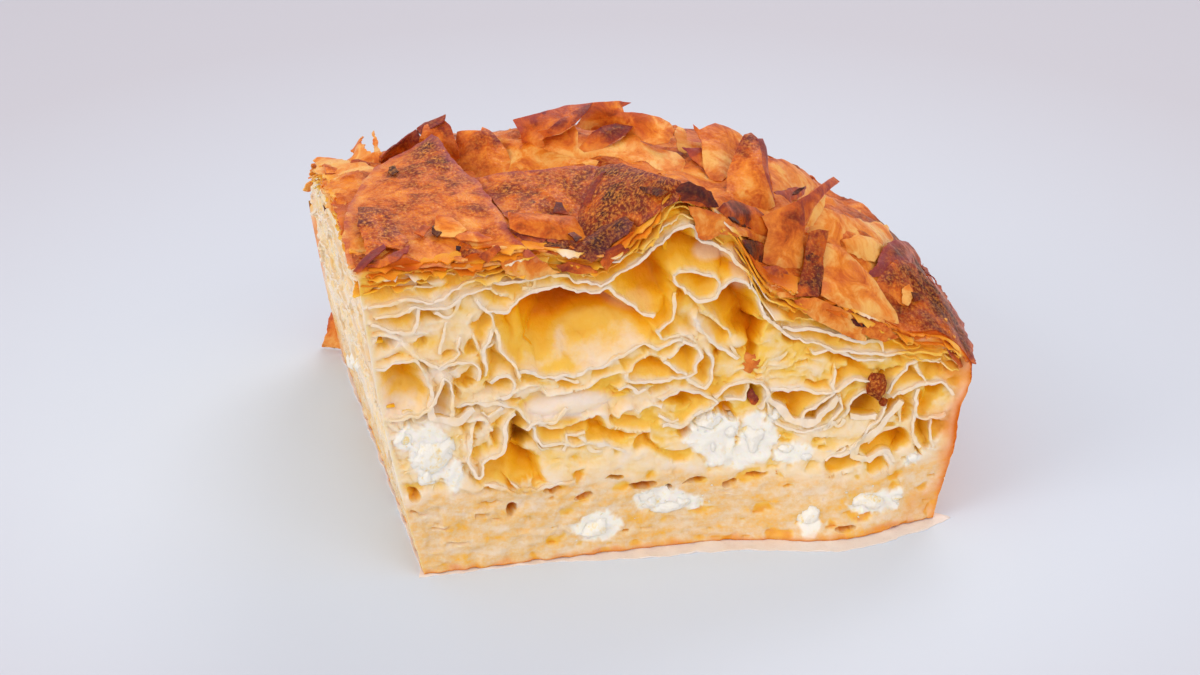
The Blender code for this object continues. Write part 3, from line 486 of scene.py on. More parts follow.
def makeToneGroup():
    # colour of a cut: phyllo by depth as painted shade, darker and more golden deeper in the cells, with
    # painted dark shade in the deepest ones, custard low down, white curd, browned beside the crust, veiled
    # where a sheet is thin and greyish
    inputs = [(name, "Float", 0.0) for name in ("Depth", "Warm", "Custard", "Bake", "Veil", "Curd")]
    tree, given, out = newGroup("phylloTone", "ShaderNodeTree", [("Vector", "Vector")] + inputs,
                                [("Color", "Color")])
    look, place = cutTexture, given["Vector"]
    stretched = addNode(tree, "ShaderNodeMapping", {"Vector": place, "Scale": look["streakStretch"]})
    streak = addNoise(stretched.outputs[0], look["streakScale"], 5.0, 0.62)
    crumbly = addNoise(place, look["fleckScale"], 4.0, 0.7)
    wander = times(minus(addNoise(place, look["driftScale"], 4.0, 0.6), 0.5), look["drift"])
    # painted shade: the deeper behind the cut, the darker and more golden the colour
    depth = plus(addMath("DIVIDE", given["Depth"], look["deepest"]), wander)
    # painted dark shade mixed in where the deepest cells are
    colour = addMix(given["Warm"], addRamp(depth, phylloDepthShadeTones), warmColour)
    grainy = plus(streak, times(minus(crumbly, 0.5), look["fleck"]))
    colour = addMix(given["Custard"], colour, addRamp(grainy, custardTones))
    colour = addMix(given["Curd"], colour, addRamp(crumbly, curdTones))
    colour = addMix(given["Veil"], colour, veilColour)
    crust = addRamp(plus(given["Bake"], times(wander, 1.4)), crustTones)
    connect(addMix(mapRange(given["Bake"], *look["browning"]), colour, crust), out["Color"])
    return tree


grainGroup = makeGrainGroup()
mottleGroup = makeMottleGroup()
toneGroup = makeToneGroup()

cutLook = {"roughness": 0.40, "subsurface_weight": 0.5, "subsurface_scale": 0.0009,
           "subsurface_radius": (1.0, 0.8, 0.5), "ior": 1.40, "specular_ior_level": 0.15}
sheetLook = {"roughness": 0.40, "subsurface_weight": 0.4, "subsurface_scale": 0.0005,
             "subsurface_radius": (1.0, 0.95, 0.85), "ior": 1.40, "specular_ior_level": 0.15}
crustLook = {"roughness": 0.42, "subsurface_weight": 0.2, "subsurface_scale": 0.0008,
             "subsurface_radius": (1.0, 0.85, 0.7), "ior": 1.40, "specular_ior_level": 0.16}
flakeLook = {"roughness": 0.36, "subsurface_weight": 0.25, "subsurface_scale": 0.0006,
             "subsurface_radius": (1.0, 0.85, 0.7), "ior": 1.40, "specular_ior_level": 0.28}
cheeseLook = {"roughness": 0.5, "subsurface_weight": 0.5, "subsurface_scale": 0.0010,
              "subsurface_radius": (1.0, 0.95, 0.85), "ior": 1.40, "specular_ior_level": 0.3}


def addGrain(place, shader, size, strength, distance):
    height = addGroup(grainGroup, {"Vector": place, "Size": size})["Height"]
    bump = addNode(treeOf(place), "ShaderNodeBump",
                   {"Strength": strength, "Distance": distance, "Height": height})
    connect(bump.outputs["Normal"], shader["Normal"])


def makeCutMaterial(name, look, bumpSize, bumpDepth):
    material, shader, place = newMaterial(name, **look)
    masks = {"Depth": "cellDepth", "Warm": "warm", "Custard": "custard", "Bake": "bake", "Veil": "veil",
             "Curd": "curd"}
    values = {label: attribute(material.node_tree, mask) for label, mask in masks.items()}
    connect(addGroup(toneGroup, {"Vector": place, **values})["Color"], shader["Base Color"])
    # moist specks that catch the light
    mottle = addGroup(mottleGroup, {"Vector": place, "Patch Size": 3.0})
    connect(plus(times(mottle["Glitter"], -0.22), look["roughness"]), shader["Roughness"])
    addGrain(place, shader, bumpSize, 0.5, bumpDepth)
    return material


def makeBakedMaterial(name, look, patchSize, spotSize, edgeShare):
    # crust and flakes: bake gives the tone, then dark spots, painted highlight specks and a purple rim
    material, shader, place = newMaterial(name, **look)
    bake, glitter, edge = [attribute(material.node_tree, mask) for mask in ("bake", "glitter", "edge")]
    mottle = addGroup(mottleGroup, {"Vector": place, "Patch Size": patchSize, "Spot Size": spotSize})
    tone = plus(bake, times(minus(mottle["Patch"], 0.5), bakedTexture["patch"]))
    tone = plus(tone, times(mottle["Spot"], times(bake, bakedTexture["spot"])))
    sparkle = times(mottle["Glitter"], glitter)
    golden = times(sparkle, plus(times(bake, bakedTexture["paintedGlintByBake"]), bakedTexture["paintedGlint"]))
    rim = times(times(edge, plus(times(mottle["Patch"], 0.8), 0.2)), edgeShare)
    # painted highlights: glint specks mixed into the base colour
    colour = addMix(golden, addRamp(tone, crustTones), paintedGlintColour)
    connect(addMix(rim, colour, rimColour), shader["Base Color"])
    # greasy patches shine, and so do the specks
    rough = plus(times(mottle["Patch"], bakedTexture["roughByPatch"]), bakedTexture["roughness"])
    connect(minus(rough, times(sparkle, bakedTexture["sparkGloss"])), shader["Roughness"])
    addGrain(place, shader, bakedTexture["grain"], bakedTexture["bump"], bakedTexture["bumpDepth"])
    return material


def makeCheeseMaterial():
    # white curd, with shade painted yellow in its cracks
    material, shader, place = newMaterial("whiteCheese", **cheeseLook)
    crumbly = addNoise(place, cutTexture["fleckScale"], 4.0, 0.7)
    # painted shade: yellower along the cracks
    tone = minus(crumbly, times(attribute(material.node_tree, "crack"), 0.16))
    connect(addRamp(tone, curdTones), shader["Base Color"])
    addGrain(place, shader, 0.5, 0.6, 0.0003)
    return material


cutMaterial = makeCutMaterial("cutPhyllo", cutLook, 0.7, 0.00025)
sheetMaterial = makeCutMaterial("phylloSheet", sheetLook, 0.9, 0.00012)
crustMaterial = makeBakedMaterial("bakedCrust", crustLook, 5.5, 3.4, 0.0)
flakeMaterial = makeBakedMaterial("crustFlake", flakeLook, 4.0, 2.4, 0.9)
cheeseMaterial = makeCheeseMaterial()
print("materials made")

# Cut edges of the crumpled sheets on the front: recess behind the cut, then points x z
frontSheets = [
    (0.0, [(-9, 51.2), (-1.3, 52), (2.8, 51.1), (9.5, 54.6), (14.4, 52.9), (23.2, 53.4), (30.5, 50.8),
           (34.7, 53.1), (39.9, 56.8), (43, 59), (45.9, 59.4), (46.7, 57.2), (51.4, 54.6), (55, 50.5),
           (57.6, 43.9), (59.5, 40.2), (63.4, 37.2), (67.6, 35.1), (72.4, 33.5), (80, 31.9), (91, 31)]),
    (0.0, [(-7.5, 49), (-0.8, 50), (4.4, 49.3), (7, 51.3), (12, 52.2)]),
    (0.0, [(-8.6, 48.2), (-4.9, 46.4), (-1.3, 45.9), (-0.2, 49.6)]),
    (0.0, [(-8, 45.4), (-5, 45.6), (-2.3, 42.8), (0, 40.8)]),
    (0.0, [(-8.5, 39.3), (-4.9, 39.9), (-0.8, 40.5), (0, 38.6), (1.3, 35.9), (2, 33), (0.3, 30.8),
           (-6.5, 30)]),
    (0.0, [(0.4, 40.8), (2.8, 38.6), (5.6, 39.2), (9, 38.4), (9.6, 36)]),
    (0.6, [(6.8, 50.6), (5.2, 47.8), (2.6, 48.6)]),
    (0.4, [(4.4, 47), (3.8, 44), (3.2, 41.5)]),
    (0.4, [(8.6, 47.4), (7.6, 44), (7.3, 41.2)]),
    (0.0, [(11.4, 48.2), (12.4, 46), (11.9, 43.4), (10.8, 41), (11, 36.2)]),
    (0.0, [(12.4, 45), (13.4, 41.4), (15.2, 37.9), (16.4, 35.6)]),
    (0.0, [(9.6, 50.2), (13.7, 47.6), (17.3, 49.8), (22.7, 51.3), (28.7, 49.4), (31.8, 49.6),
           (35.4, 46.2), (39.5, 43.6)]),
    (0.0, [(16.2, 36.4), (20, 35.2), (25, 34.4), (30, 35.2), (34.7, 37.3), (38, 38.4), (41, 37.6),
           (44.4, 38.8)]),
    (0.0, [(15.4, 32.4), (18, 33), (19.8, 32.8), (21.4, 31.4), (26, 31.6), (32.4, 33.6), (35, 34.4),
           (39, 36.5), (41, 35.7), (43.4, 36.3), (44.6, 38.2)]),
    (0.0, [(44.5, 38.5), (47.3, 36.3), (46.8, 33.5), (45, 31.6), (35.6, 32), (34.4, 34)]),
    (0.0, [(41.1, 35.2), (43.2, 33.6), (45, 32.2)]),
    (0.0, [(48.6, 36.2), (49.3, 34), (48.4, 29.6), (45, 31.4)]),
    (0.0, [(46.7, 42.9), (47.7, 40), (50, 37), (53.8, 34)]),
    (0.0, [(42.8, 51.3), (43.4, 49.8), (45, 47.5), (47.2, 45.5), (49.6, 45.8), (52.3, 48.5), (56.8, 46.8)]),
    (0.0, [(42.8, 51.4), (44.8, 51.4), (50.2, 49.3), (50.6, 46.8)]),
    (0.6, [(47.3, 45.2), (48.6, 42.2), (52, 39.5), (52.8, 36.2), (54, 33.8)]),
    (3.0, [(41.8, 56.4), (42.4, 53.6), (47.2, 52.6)]),
    (3.5, [(18, 43.4), (18.3, 40.4), (21.8, 36.6)]),
    (0.0, [(61.5, 39), (66, 38.2), (70, 36.7), (75.5, 35)]),
    (0.0, [(66.6, 33.4), (70.6, 33.5), (75, 31.3), (79.6, 30.6)]),
    (0.0, [(59.4, 27.6), (64, 27.4), (67.2, 26), (71, 26.4), (73, 27.4), (78, 27.4)]),
    (0.0, [(70.9, 30), (70.4, 27.6), (70, 25.4), (66, 22.8), (63.4, 20.8)]),
    (0.0, [(58.8, 26.8), (60.2, 22.4), (63, 19.8), (66, 19.2), (69.6, 20.4), (72, 23), (71.5, 25)]),
    (0.0, [(66, 18.6), (70, 19.6), (72.6, 21.2), (73.4, 23.4), (75.7, 24.9), (79, 23), (79.4, 22.2)]),
    (0.0, [(79.4, 22.2), (78.3, 19.8), (76, 17.7), (74.5, 14.8), (74.4, 12.9), (77.2, 12.9), (79.3, 13.3),
           (81.1, 10.4)]),
    (0.6, [(82.4, 21.8), (81.9, 18), (79.2, 17.6), (76.4, 15.8)]),
    (0.0, [(68.2, 11.4), (69.4, 14.6), (73.4, 14.8), (76, 17.6)]),
    (0.0, [(67.8, 10.8), (75, 11.6), (76.4, 10.6), (81, 10.2)]),
    (0.0, [(79.8, 24.2), (83.2, 28.7), (86, 29.8), (89, 29.2)]),
    (0.0, [(80.2, 23.6), (84, 25), (90, 25.2), (91.2, 20.4), (86.6, 18.8), (84.4, 20.4)]),
    (0.0, [(84.9, 29), (86.6, 25.6)]),
    (0.0, [(85, 24.6), (84.4, 19), (84.8, 14.8), (86.6, 12.4)]),
    (0.4, [(87.8, 18.4), (87.4, 15), (88.2, 13)]),
    (0.0, [(-5.5, 29.8), (-3, 30.4), (0.2, 30.6), (2.6, 33.4), (3.8, 36.8), (5, 34.4), (5.2, 29)]),
    (0.0, [(12.2, 34.6), (13.6, 36), (15.2, 35), (15.6, 32.4), (12.6, 31.4)]),
    (0.0, [(5.4, 28.2), (8.6, 28), (11, 27.4), (12.2, 25.6)]),
    (0.0, [(6, 30.8), (10, 31.2), (15.8, 29.4), (18.6, 25.8), (20.5, 22.8), (24, 21.4), (30, 20.8),
           (35.4, 19)]),
    (0.0, [(8.8, 27), (8, 22.6), (8.6, 18.2), (9.8, 17.6), (10.6, 21), (13.8, 21.8), (14.2, 26.4),
           (15.8, 28.4)]),
    (0.0, [(19, 26.4), (22.5, 24.9), (26, 25), (30.6, 26.6), (31.8, 24.2), (35.1, 22.6), (39, 22.2)]),
    (0.0, [(10.2, 15.8), (14, 14.6), (17.4, 13.4), (21, 14.2), (26, 14.8)]),
    (0.0, [(33.2, 25.4), (35, 26.8), (37, 26), (39.2, 27.2), (41, 26.6)]),
    (0.0, [(41, 28.2), (44, 29.2), (48.2, 28), (50.2, 26.4), (47, 24.4), (44.8, 22.6), (41.2, 23)]),
    (0.0, [(50.2, 27.4), (52.6, 29.6), (57.4, 29.2), (59, 27), (57.6, 24.6)]),
    (0.0, [(52, 26.8), (54.8, 27), (55.4, 28.8)]),
]
# Deep cells behind those edges: x, z, half width, half height, depth, share of painted dark shade in their
# colour
frontCells = [
    (24, 43.5, 12, 7, 13, 0.0), (37.5, 51, 6, 5, 9, 0.15), (45, 55, 4.5, 3.5, 8, 0.2),
    (52.5, 51, 4.5, 3.5, 7, 0.1), (53.5, 42, 4.5, 6, 11, 0.2), (46.8, 48.6, 4, 2.6, 7, 0.0),
    (42.5, 43, 4.5, 3.6, 3, 0.0), (44.4, 35.3, 3.2, 3, 8, 0.25), (39, 33.3, 3.4, 1.9, 6, 0.1),
    (48, 32.6, 1.8, 3.2, 7, 0.25), (-4, 36, 5, 4.6, 6, 0.1), (4.2, 33, 2, 3.6, 6, 0.35),
    (12.4, 40, 2, 3, 6, 0.2), (13.8, 33.8, 2.2, 2.4, 6, 0.3), (15.9, 25.0, 3.2, 2.6, 12, 1.0),
    (7, 24, 1.8, 5, 5, 0.2), (14, 18.4, 5, 3.2, 6, 0.1), (28, 23.4, 9, 2, 5, 0.1),
    (67.5, 37, 4.6, 1.8, 6, 0.3), (71.5, 32.3, 3.2, 1.2, 4, 0.1), (64.5, 25.8, 3.2, 2, 6, 0.2),
    (67.5, 22.9, 3.8, 1.5, 6, 0.45), (76, 22.9, 3, 2.2, 9, 0.6), (74, 28.4, 3, 1.2, 4, 0.2),
    (71.6, 13.2, 2.6, 1.8, 8, 0.6), (78.3, 12.2, 2.3, 1.4, 7, 0.5), (82.8, 26.6, 2.8, 2, 7, 0.65),
    (87.2, 27.8, 2, 2.2, 6, 0.6), (86, 16, 1.3, 3.4, 5, 0.55), (79.4, 15.4, 3.8, 2, 4.5, 0.2),
    (52.5, 28.3, 2.4, 1.4, 7, 0.8), (57.3, 27.2, 1.6, 1.8, 8, 1.0), (44.8, 27.8, 3.6, 1.5, 4.5, 0.15),
    (47.2, 22.6, 2.6, 3, 4, 0.0), (12.4, 51.2, 4, 1.2, 3, 0.15), (-3.6, 47.5, 3, 1.2, 4, 0.1),
]
# Tight places where sheets lie closed on each other: x, z, half width, half height, depth
frontTight = [
    (62.5, 30.4, 9, 3.2, 0.7), (25, 28.6, 7.5, 3, 2.2), (33, 29, 5, 3.4, 1.6), (57.6, 18.5, 6, 5, 0.6),
    (2.5, 23, 6, 6.4, 0.6), (42, 24.6, 4, 2, 1.2), (84, 21.8, 4, 2, 2.2),
]
# Small holes in the dense lower part: x, z, half width, half height, depth
frontHoles = [
    (37.8, 12.5, 2.6, 0.80, 4), (41.8, 11.5, 1.1, 0.6, 3), (46.7, 12.1, 2.0, 0.65, 3.5),
    (52.6, 11.2, 1.3, 0.6, 2.5),
    (57.2, 12.1, 2.2, 0.65, 3), (15.3, 10.7, 1.1, 1.5, 4), (22.2, 13.3, 2.0, 0.65, 3),
    (27.4, 11.4, 1.7, 0.6, 3),
    (-1.3, 15.2, 1.1, 1.6, 4), (71.8, 1.9, 2.0, 0.65, 2.5), (33.0, 14.4, 1.8, 0.6, 3),
]
# Parts of the front cut that swell forwards: x, z, half width, half height, depth of the middle
frontBulges = [(25, 28.4, 7.0, 2.4, 0.35), (31.5, 40.5, 5.5, 3.6, 5.0), (53.6, 36.8, 2.6, 1.8, 0.5),
               (16.4, 41.5, 1.6, 5.4, 2.4), (45.5, 44.2, 2.4, 2.6, 1.4)]
# Parts of the cut with less painted shade, in the colour of a lesser depth: x, z, half width, half height,
# share
paleParts = [
    (30.5, 39.5, 7, 4.6, 0.72), (21.5, 39.5, 4, 3.2, 0.45), (47, 41, 4, 4, 0.5), (-4, 33.5, 4, 2.5, 0.5),
    (-5, 31, 4.5, 2.2, 0.8), (3, 36.8, 3.2, 1.4, 0.7), (-4, 44.6, 4.2, 1.4, 0.7), (2, 28.4, 3.2, 2.0, 0.8),
    (11, 30.2, 3.0, 3.0, 0.5), (33, 27.2, 6.0, 1.5, 0.6), (20, 31.6, 4.0, 1.2, 0.6),
    (40, 28.8, 5.0, 1.4, 0.6),
]
# Greyish veils over the cut: x, z, half width, half height, share
veils = [(25, 28.4, 7, 2.3, 0.85), (50.5, 53.4, 3.4, 1.5, 0.5), (54.6, 49.0, 1.6, 3.4, 0.4),
         (36, 45.6, 3.4, 2.2, 0.15), (2.5, 31.5, 2.0, 2.0, 0.25)]
# White curd lying in the cut: x, z, half width, half height
curdZones = [(50.0, 20.4, 5.0, 3.8), (57.2, 18.8, 3.6, 4.6), (63.4, 15.6, 3.6, 1.8), (53.6, 15.6, 5.0, 2.0),
             (40.6, 9.4, 4.4, 2.2), (46.0, 8.0, 2.4, 1.6), (30.4, 5.4, 4.4, 2.8), (1.6, 22.8, 3.6, 5.6),
             (-2.6, 26.2, 1.8, 2.4), (5.4, 18.0, 1.8, 3.0), (78.0, 5.4, 5.4, 1.8), (65.8, 3.0, 1.8, 1.9),
             (84.4, 11.6, 1.5, 1.3)]
# Layers of noise in this script: strength, size along and up, and a number of their own
relief = {
    "edgeHalf": 0.22,          # half of a sheet's cut edge
    "edgeChange": 0.14,
    "edgeDrop": 0.6,           # the quick fall right beside an edge
    "edgeFade": 0.30,
    "ceilingSlope": 5.0,       # how steeply a cell falls away below a sheet
    "wallSlope": 2.0,
    "floorSlope": 0.8,
    "sink": 0.3,               # how far the thin sheets stand proud of the relief
    "tightBelow": 2.5,         # depth of a cell that counts as closed
    "openAbove": 5.0,
    "grid": 0.50,
    "lineStep": 0.45,
    "rows": (-0.54, -0.2, 0.2, 0.54),  # rows of points beside an edge
    "warp": ((2.8, 0.75), (1.0, 0.26)),  # size and reach of the waves of the edges
    "billow": ((0.26, 5.2, 4.2, 1.7), (0.12, 1.7, 1.7, 4.1)),
    "layerPitch": 1.1,         # closed layers beside a sheet
    "layerDepth": 0.20,
    "crinkle": 0.36,
    "crinkleSize": (4.6, 2.2),
    "strata": ((0.20, 9.0, 0.9, 2.2), (0.16, 2.4, 0.5, 6.6)),
    "roughness": 0.08,
    "poreCount": 16,
    "pores": ((2.2, 14), (0.3, 1.7), (0.16, 0.42), (0.4, 1.3)),  # z, half width and height, depth
    "slitDepth": 0.5,
    "custardWave": 3.2,        # how much the top of the custard wanders
    "curdBlocks": ((3.0, 0.6), (1.0, 0.10)),  # size and depth of the broken pieces of curd
    "curdEdge": ((0.34, 2.2, 2.2, 17.0), (0.20, 0.8, 0.8, 23.0)),
}
fillers = {"count": 30, "length": (3.0, 8.0), "bend": 0.35, "seed": 21}
leftRows = {"rows": 7, "foldShare": 0.55, "lowest": 0.3, "highest": 0.96, "seed": 11}


def noiseSum(u, v, layers, seed=0.0):
    return sum(strength * noiseAt(u / along, v / up, seed + number) for strength, along, up, number in layers)


def blobShare(u, v, blob):
    return smoothStep((1.3 - np.hypot((u - blob[0]) / blob[2], (v - blob[1]) / blob[3])) / 0.45)


def curdShare(u, v):
    share = np.zeros(np.shape(u))
    wander = noiseSum(u, v, relief["curdEdge"])
    for cu, cv, wide, tall in curdZones:
        out = np.hypot((u - cu) / wide, (v - cv) / tall) + wander
        share = np.maximum(share, smoothStep((1.05 - out) / 0.16))
    return share


def fillerSheets():
    # short curled sheets wherever the list above leaves the front cut bare
    chance = random.Random(fillers["seed"])
    found = []
    while len(found) < fillers["count"]:
        u, v = chance.uniform(-5, 88), chance.uniform(14.5, 54)
        if v > float(crustHeight(u, 0.0)) - 4 or u > pie["rightEdge"] - float(wallInset(v)) - 5:
            continue
        if any(blobShare(u, v, cell) > 0.25 for cell in frontCells if cell[4] > relief["openAbove"]):
            continue
        turn = chance.gauss(0, 0.55) + math.pi * (u > 45) * 0.04
        length = chance.uniform(*fillers["length"])
        curl = chance.choice((-1, 1)) * chance.uniform(0.4, 1)
        bend, phase = curl * fillers["bend"] * length, chance.uniform(0, 3)
        line = []
        for k in range(6):
            along = (k / 5 - 0.5) * length
            off = bend * math.sin(phase + k * 1.15) * 0.6
            line.append((u + along * math.cos(turn) - off * math.sin(turn),
                         v + along * math.sin(turn) + off * math.cos(turn)))
        found.append((chance.uniform(0, 0.9), line))
    return found


def makeLeftSheets():
    # wavy rows that follow the crust, some joined by short folds
    chance = random.Random(leftRows["seed"])
    sheets, lines = [], []
    for row in range(leftRows["rows"]):
        share = leftRows["lowest"] + (leftRows["highest"] - leftRows["lowest"]) * row / leftRows["rows"]
        phase = chance.uniform(0, 6.3)
        line = []
        for y in range(-1, 88, 8):
            top = float(crustHeight(leftCut(y, 40), y)) - 1
            wave = 1.2 * math.sin(y / 7.5 + phase) + chance.uniform(-0.7, 0.7)
            line.append((y, top * share + wave * (0.6 + 0.5 * share)))
        lines.append(line)
        sheets.append((0.0, line))
    for low, high in zip(lines, lines[1:]):
        for k in range(1, len(low) - 1):
            if chance.random() < leftRows["foldShare"]:
                shift = chance.uniform(-3, 3)
                (ya, za), (yb, zb) = low[k], high[k]
                middle = ((ya + yb) / 2 + shift * 0.2, (za + zb) / 2)
                sheets.append((0.0, [(ya + shift, za), middle, (yb - shift, zb)]))
    return sheets


# How deep each cut may go beside its borders, and its points as places on the slice
def frontLimit(x, z):
    corner = np.maximum(x - leftCut(0, z), 0)
    rim = np.maximum(pie["rightEdge"] - wallInset(z) - x - 0.9, 0)
    roof = np.maximum(crustHeight(x, 0 * x) - z - 0.9, 0)
    return np.minimum.reduce([0.1 + 0.85 * corner + 0.10 * corner ** 2, 0.2 + 0.8 * rim + 0.2 * rim ** 2,
                              0.25 + 1.5 * roof])


def leftLimit(y, z):
    corner = np.maximum(y, 0)
    back = np.maximum(pie["backEdge"] - wallInset(z) - y - 1.0, 0)
    roof = np.maximum(crustHeight(leftCut(y, z), y) - z - 1.0, 0)
    return np.minimum.reduce([0.1 + 0.30 * corner + 0.10 * corner ** 2, 0.2 + 0.9 * back, 0.2 + 1.2 * roof])


def frontPlace(x, z, depth):
    return np.stack([x, frontBow(x, z) + depth, z], 1)


def leftPlace(y, z, depth):
    return np.stack([leftCut(y, z) + depth, y, z], 1)


cuts = {
    # base: how far the closed parts lie behind the cut above the custard, where that starts, its run
    # region: the knife's corners; pull: the axis that it is drawn out along, and to where
    "front": {"sheets": frontSheets + fillerSheets(), "cells": frontCells + frontTight, "holes": frontHoles,
              "bulges": frontBulges, "curd": True, "base": (1.5, 12.5, 12.0), "limit": frontLimit,
              "place": frontPlace, "region": ((-22, -6), (104, 76)), "pull": (1, -40), "seed": 3},
    "left": {"sheets": makeLeftSheets(), "cells": [], "holes": [], "bulges": [], "curd": False,
             "base": (1.0, 13.0, 10.0), "limit": leftLimit, "place": leftPlace,
             "region": ((-18, -6), (100, 76)), "pull": (0, -50), "seed": 7},
}


def smoothLine(points, step):
    pts = [Vector(p) for p in points]
    ends = [2 * pts[0] - pts[1]] + pts + [2 * pts[-1] - pts[-2]]
    line = []
    for k in range(1, len(ends) - 2):
        a, b, c, d = ends[k - 1:k + 3]
        parts = max(1, round((c - b).length / step))
        for t in (i / parts for i in range(parts)):
            line.append(0.5 * (2 * b + (c - a) * t + (2 * a - 5 * b + 4 * c - d) * t * t
                               + (3 * b - a - 3 * c + d) * t ** 3))
    return line + [pts[-1]]


def besideLine(line, offset):
    moved = []
    for k, point in enumerate(line):
        along = line[min(k + 1, len(line) - 1)] - line[max(k - 1, 0)]
        if along.length > 1e-6:
            moved.append(point + Vector((-along.y, along.x)).normalized() * offset)
    return moved


def edgeFall(u, v, cut):
    # how deep the cells fall away beside the sheets' edges, and how far off the nearest edge is
    edges = np.array([(p.x, p.y, recess) for recess, pts in cut["sheets"] for p in smoothLine(pts, 0.5)],
                     np.float32)
    fall, near = np.empty(len(u)), np.empty(len(u))
    lnFloor = math.log(relief["floorSlope"] / relief["wallSlope"])
    lnCeiling = math.log(relief["ceilingSlope"] / relief["wallSlope"])
    half = relief["edgeHalf"] + relief["edgeChange"] * noiseAt(u / 3.5, v / 3.5, cut["seed"] + 40.0) * 1.6
    half = np.clip(half, 0.08, 0.4)
    for start in range(0, len(u), 1500):
        part = slice(start, start + 1500)
        du = u[part, None].astype(np.float32) - edges[None, :, 0]
        dv = v[part, None].astype(np.float32) - edges[None, :, 1]
        far = np.sqrt(du * du + dv * dv) + 1e-6
        above = dv / far
        slope = relief["wallSlope"] * np.exp(np.where(above > 0, above * lnFloor, -above * lnCeiling))
        away = np.maximum(far - half[part, None], 0)
        quick = relief["edgeDrop"] * (1 - np.exp(-away / relief["edgeFade"]))
        fall[part] = np.min(edges[None, :, 2] + quick + slope * away, 1)
        near[part] = np.min(far, 1)
    return fall, near


def reliefDepth(u, v, cut):
    seed, (rise, start, run) = cut["seed"], cut["base"]
    fall, near = edgeFall(u, v, cut)
    # closed parts lie near the cut, with small cells here and there
    level = v + relief["custardWave"] * noiseAt(u / 10, v / 7, seed + 80.0)
    small = smoothStep((noiseAt(u / 3.6, v / 2.6, seed + 50.0) - 0.10) / 0.28)
    cap = (0.3 + rise * smoothStep((level - start) / run)) * (0.55 + 1.5 * small)
    tight, opened = np.zeros(len(u)), np.zeros(len(u))
    for cell in cut["cells"]:
        share = blobShare(u, v, cell)
        cap = cap + (cell[4] - cap) * share
        tight = np.maximum(tight, share * (cell[4] < relief["tightBelow"]))
        opened = np.maximum(opened, share * (cell[4] > relief["openAbove"]))
    airy = smoothStep((level - 12.0) / 5) * (1 - tight)
    value = np.minimum(fall + relief["sink"] * airy, cap * (1 + noiseSum(u, v, relief["billow"], seed)))
    # layers that follow the nearest edge
    wander = noiseAt(u / 3.1, v / 2.2, seed + 8.3)
    layers = np.sin(near * 2 * math.pi / relief["layerPitch"] + 4 * wander) * relief["layerDepth"]
    layers = layers * (0.3 + 0.7 * tight) * smoothStep(1.6 - value / 4.5)
    value = value + layers * smoothStep((level - 11) / 4) * smoothStep(value / 0.5)
    # crinkles of the sheets that lie closed: sharp folds along a warped noise
    wide, tall = relief["crinkleSize"]
    warpU, warpV = 1.6 * noiseAt(u / 4, v / 4, seed + 12.0), 1.6 * noiseAt(u / 4, v / 4, seed + 17.0)
    fold = np.abs(noiseAt((u + warpU) / wide, (v + warpV) / tall, seed + 21.0))
    little = np.abs(noiseAt((u + warpV) / (wide * 0.42), (v + warpU) / (tall * 0.45), seed + 25.0))
    crinkle = relief["crinkle"] * (2.2 * fold - 0.35) + 0.4 * relief["crinkle"] * (1.6 * little - 0.3)
    value = value + crinkle * smoothStep((level - 12) / 4) * (1 - 0.6 * opened) * smoothStep(value / 0.9)
    # the dense custard below: flat strata and slits
    bent = v + 0.8 * noiseAt(u / 6, v / 9, seed + 90.0)
    strata = noiseSum(u, bent, relief["strata"], seed) + 0.35 * noiseAt(u / 2.2, v / 2.2, seed + 33.0)
    slits = smoothStep((noiseAt(u / 5.0, bent / 0.75, seed + 30.0) - 0.46) / 0.10) * relief["slitDepth"]
    value = value + (strata + 0.15 + slits) * (1 - airy)
    value = value + relief["roughness"] * noiseAt(u / 0.8, v / 0.8, seed)
    chance = random.Random(seed)
    spans = ((float(u.min()) + 18, float(u.max()) - 14), *relief["pores"])
    pores = [tuple(chance.uniform(*span) for span in spans) for _ in range(relief["poreCount"])]
    for hu, hv, wide, tall, deep in cut["holes"] + pores:
        inside = 1 - np.hypot((u - hu) / wide, (v - hv) / tall)
        value = np.maximum(value, deep * smoothStep(inside / 0.35))
    for bu, bv, wide, tall, middle in cut["bulges"]:
        out = np.hypot((u - bu) / wide, (v - bv) / tall)
        dome = middle + 1.3 * out ** 2 + 0.12 * noiseAt(u / 2, v / 2, 3.0)
        value = value + (np.minimum(dome, value) - value) * smoothStep((1.15 - out) / 0.3)
    if cut["curd"]:
        blocks = 0.12 + sum(deep * np.abs(noiseAt(u / size, v / size, 51.0 + size)) * 2
                            for size, deep in relief["curdBlocks"])
        value = value + (blocks - value) * curdShare(u, v)
    return np.clip(value, 0.0, np.maximum(cut["limit"](u, v), 0))


def reliefWarp(u, v, cut):
    # waves that bend the edges within the cut, fading out at its borders
    shiftU, shiftV = np.zeros(len(u)), np.zeros(len(u))
    for k, (size, reach) in enumerate(relief["warp"]):
        shiftU = shiftU + reach * noiseAt(u / size, v / size, cut["seed"] + 60.0 + k)
        shiftV = shiftV + reach * noiseAt(u / size, v / size, cut["seed"] + 70.0 + k)
    fade = smoothStep((cut["limit"](u, v) - 0.3) / 2.0) * smoothStep((v - 3) / 5)
    return u + shiftU * fade, v + shiftV * fade


def staggeredGrid(low, high, step):
    # points in rows, with every second row half a step further along
    rows = np.arange(low[1], high[1], step * 0.87)
    places = np.stack(np.meshgrid(np.arange(low[0], high[0], step), rows), -1)
    places[1::2, :, 0] += step / 2
    return places.reshape(-1, 2)


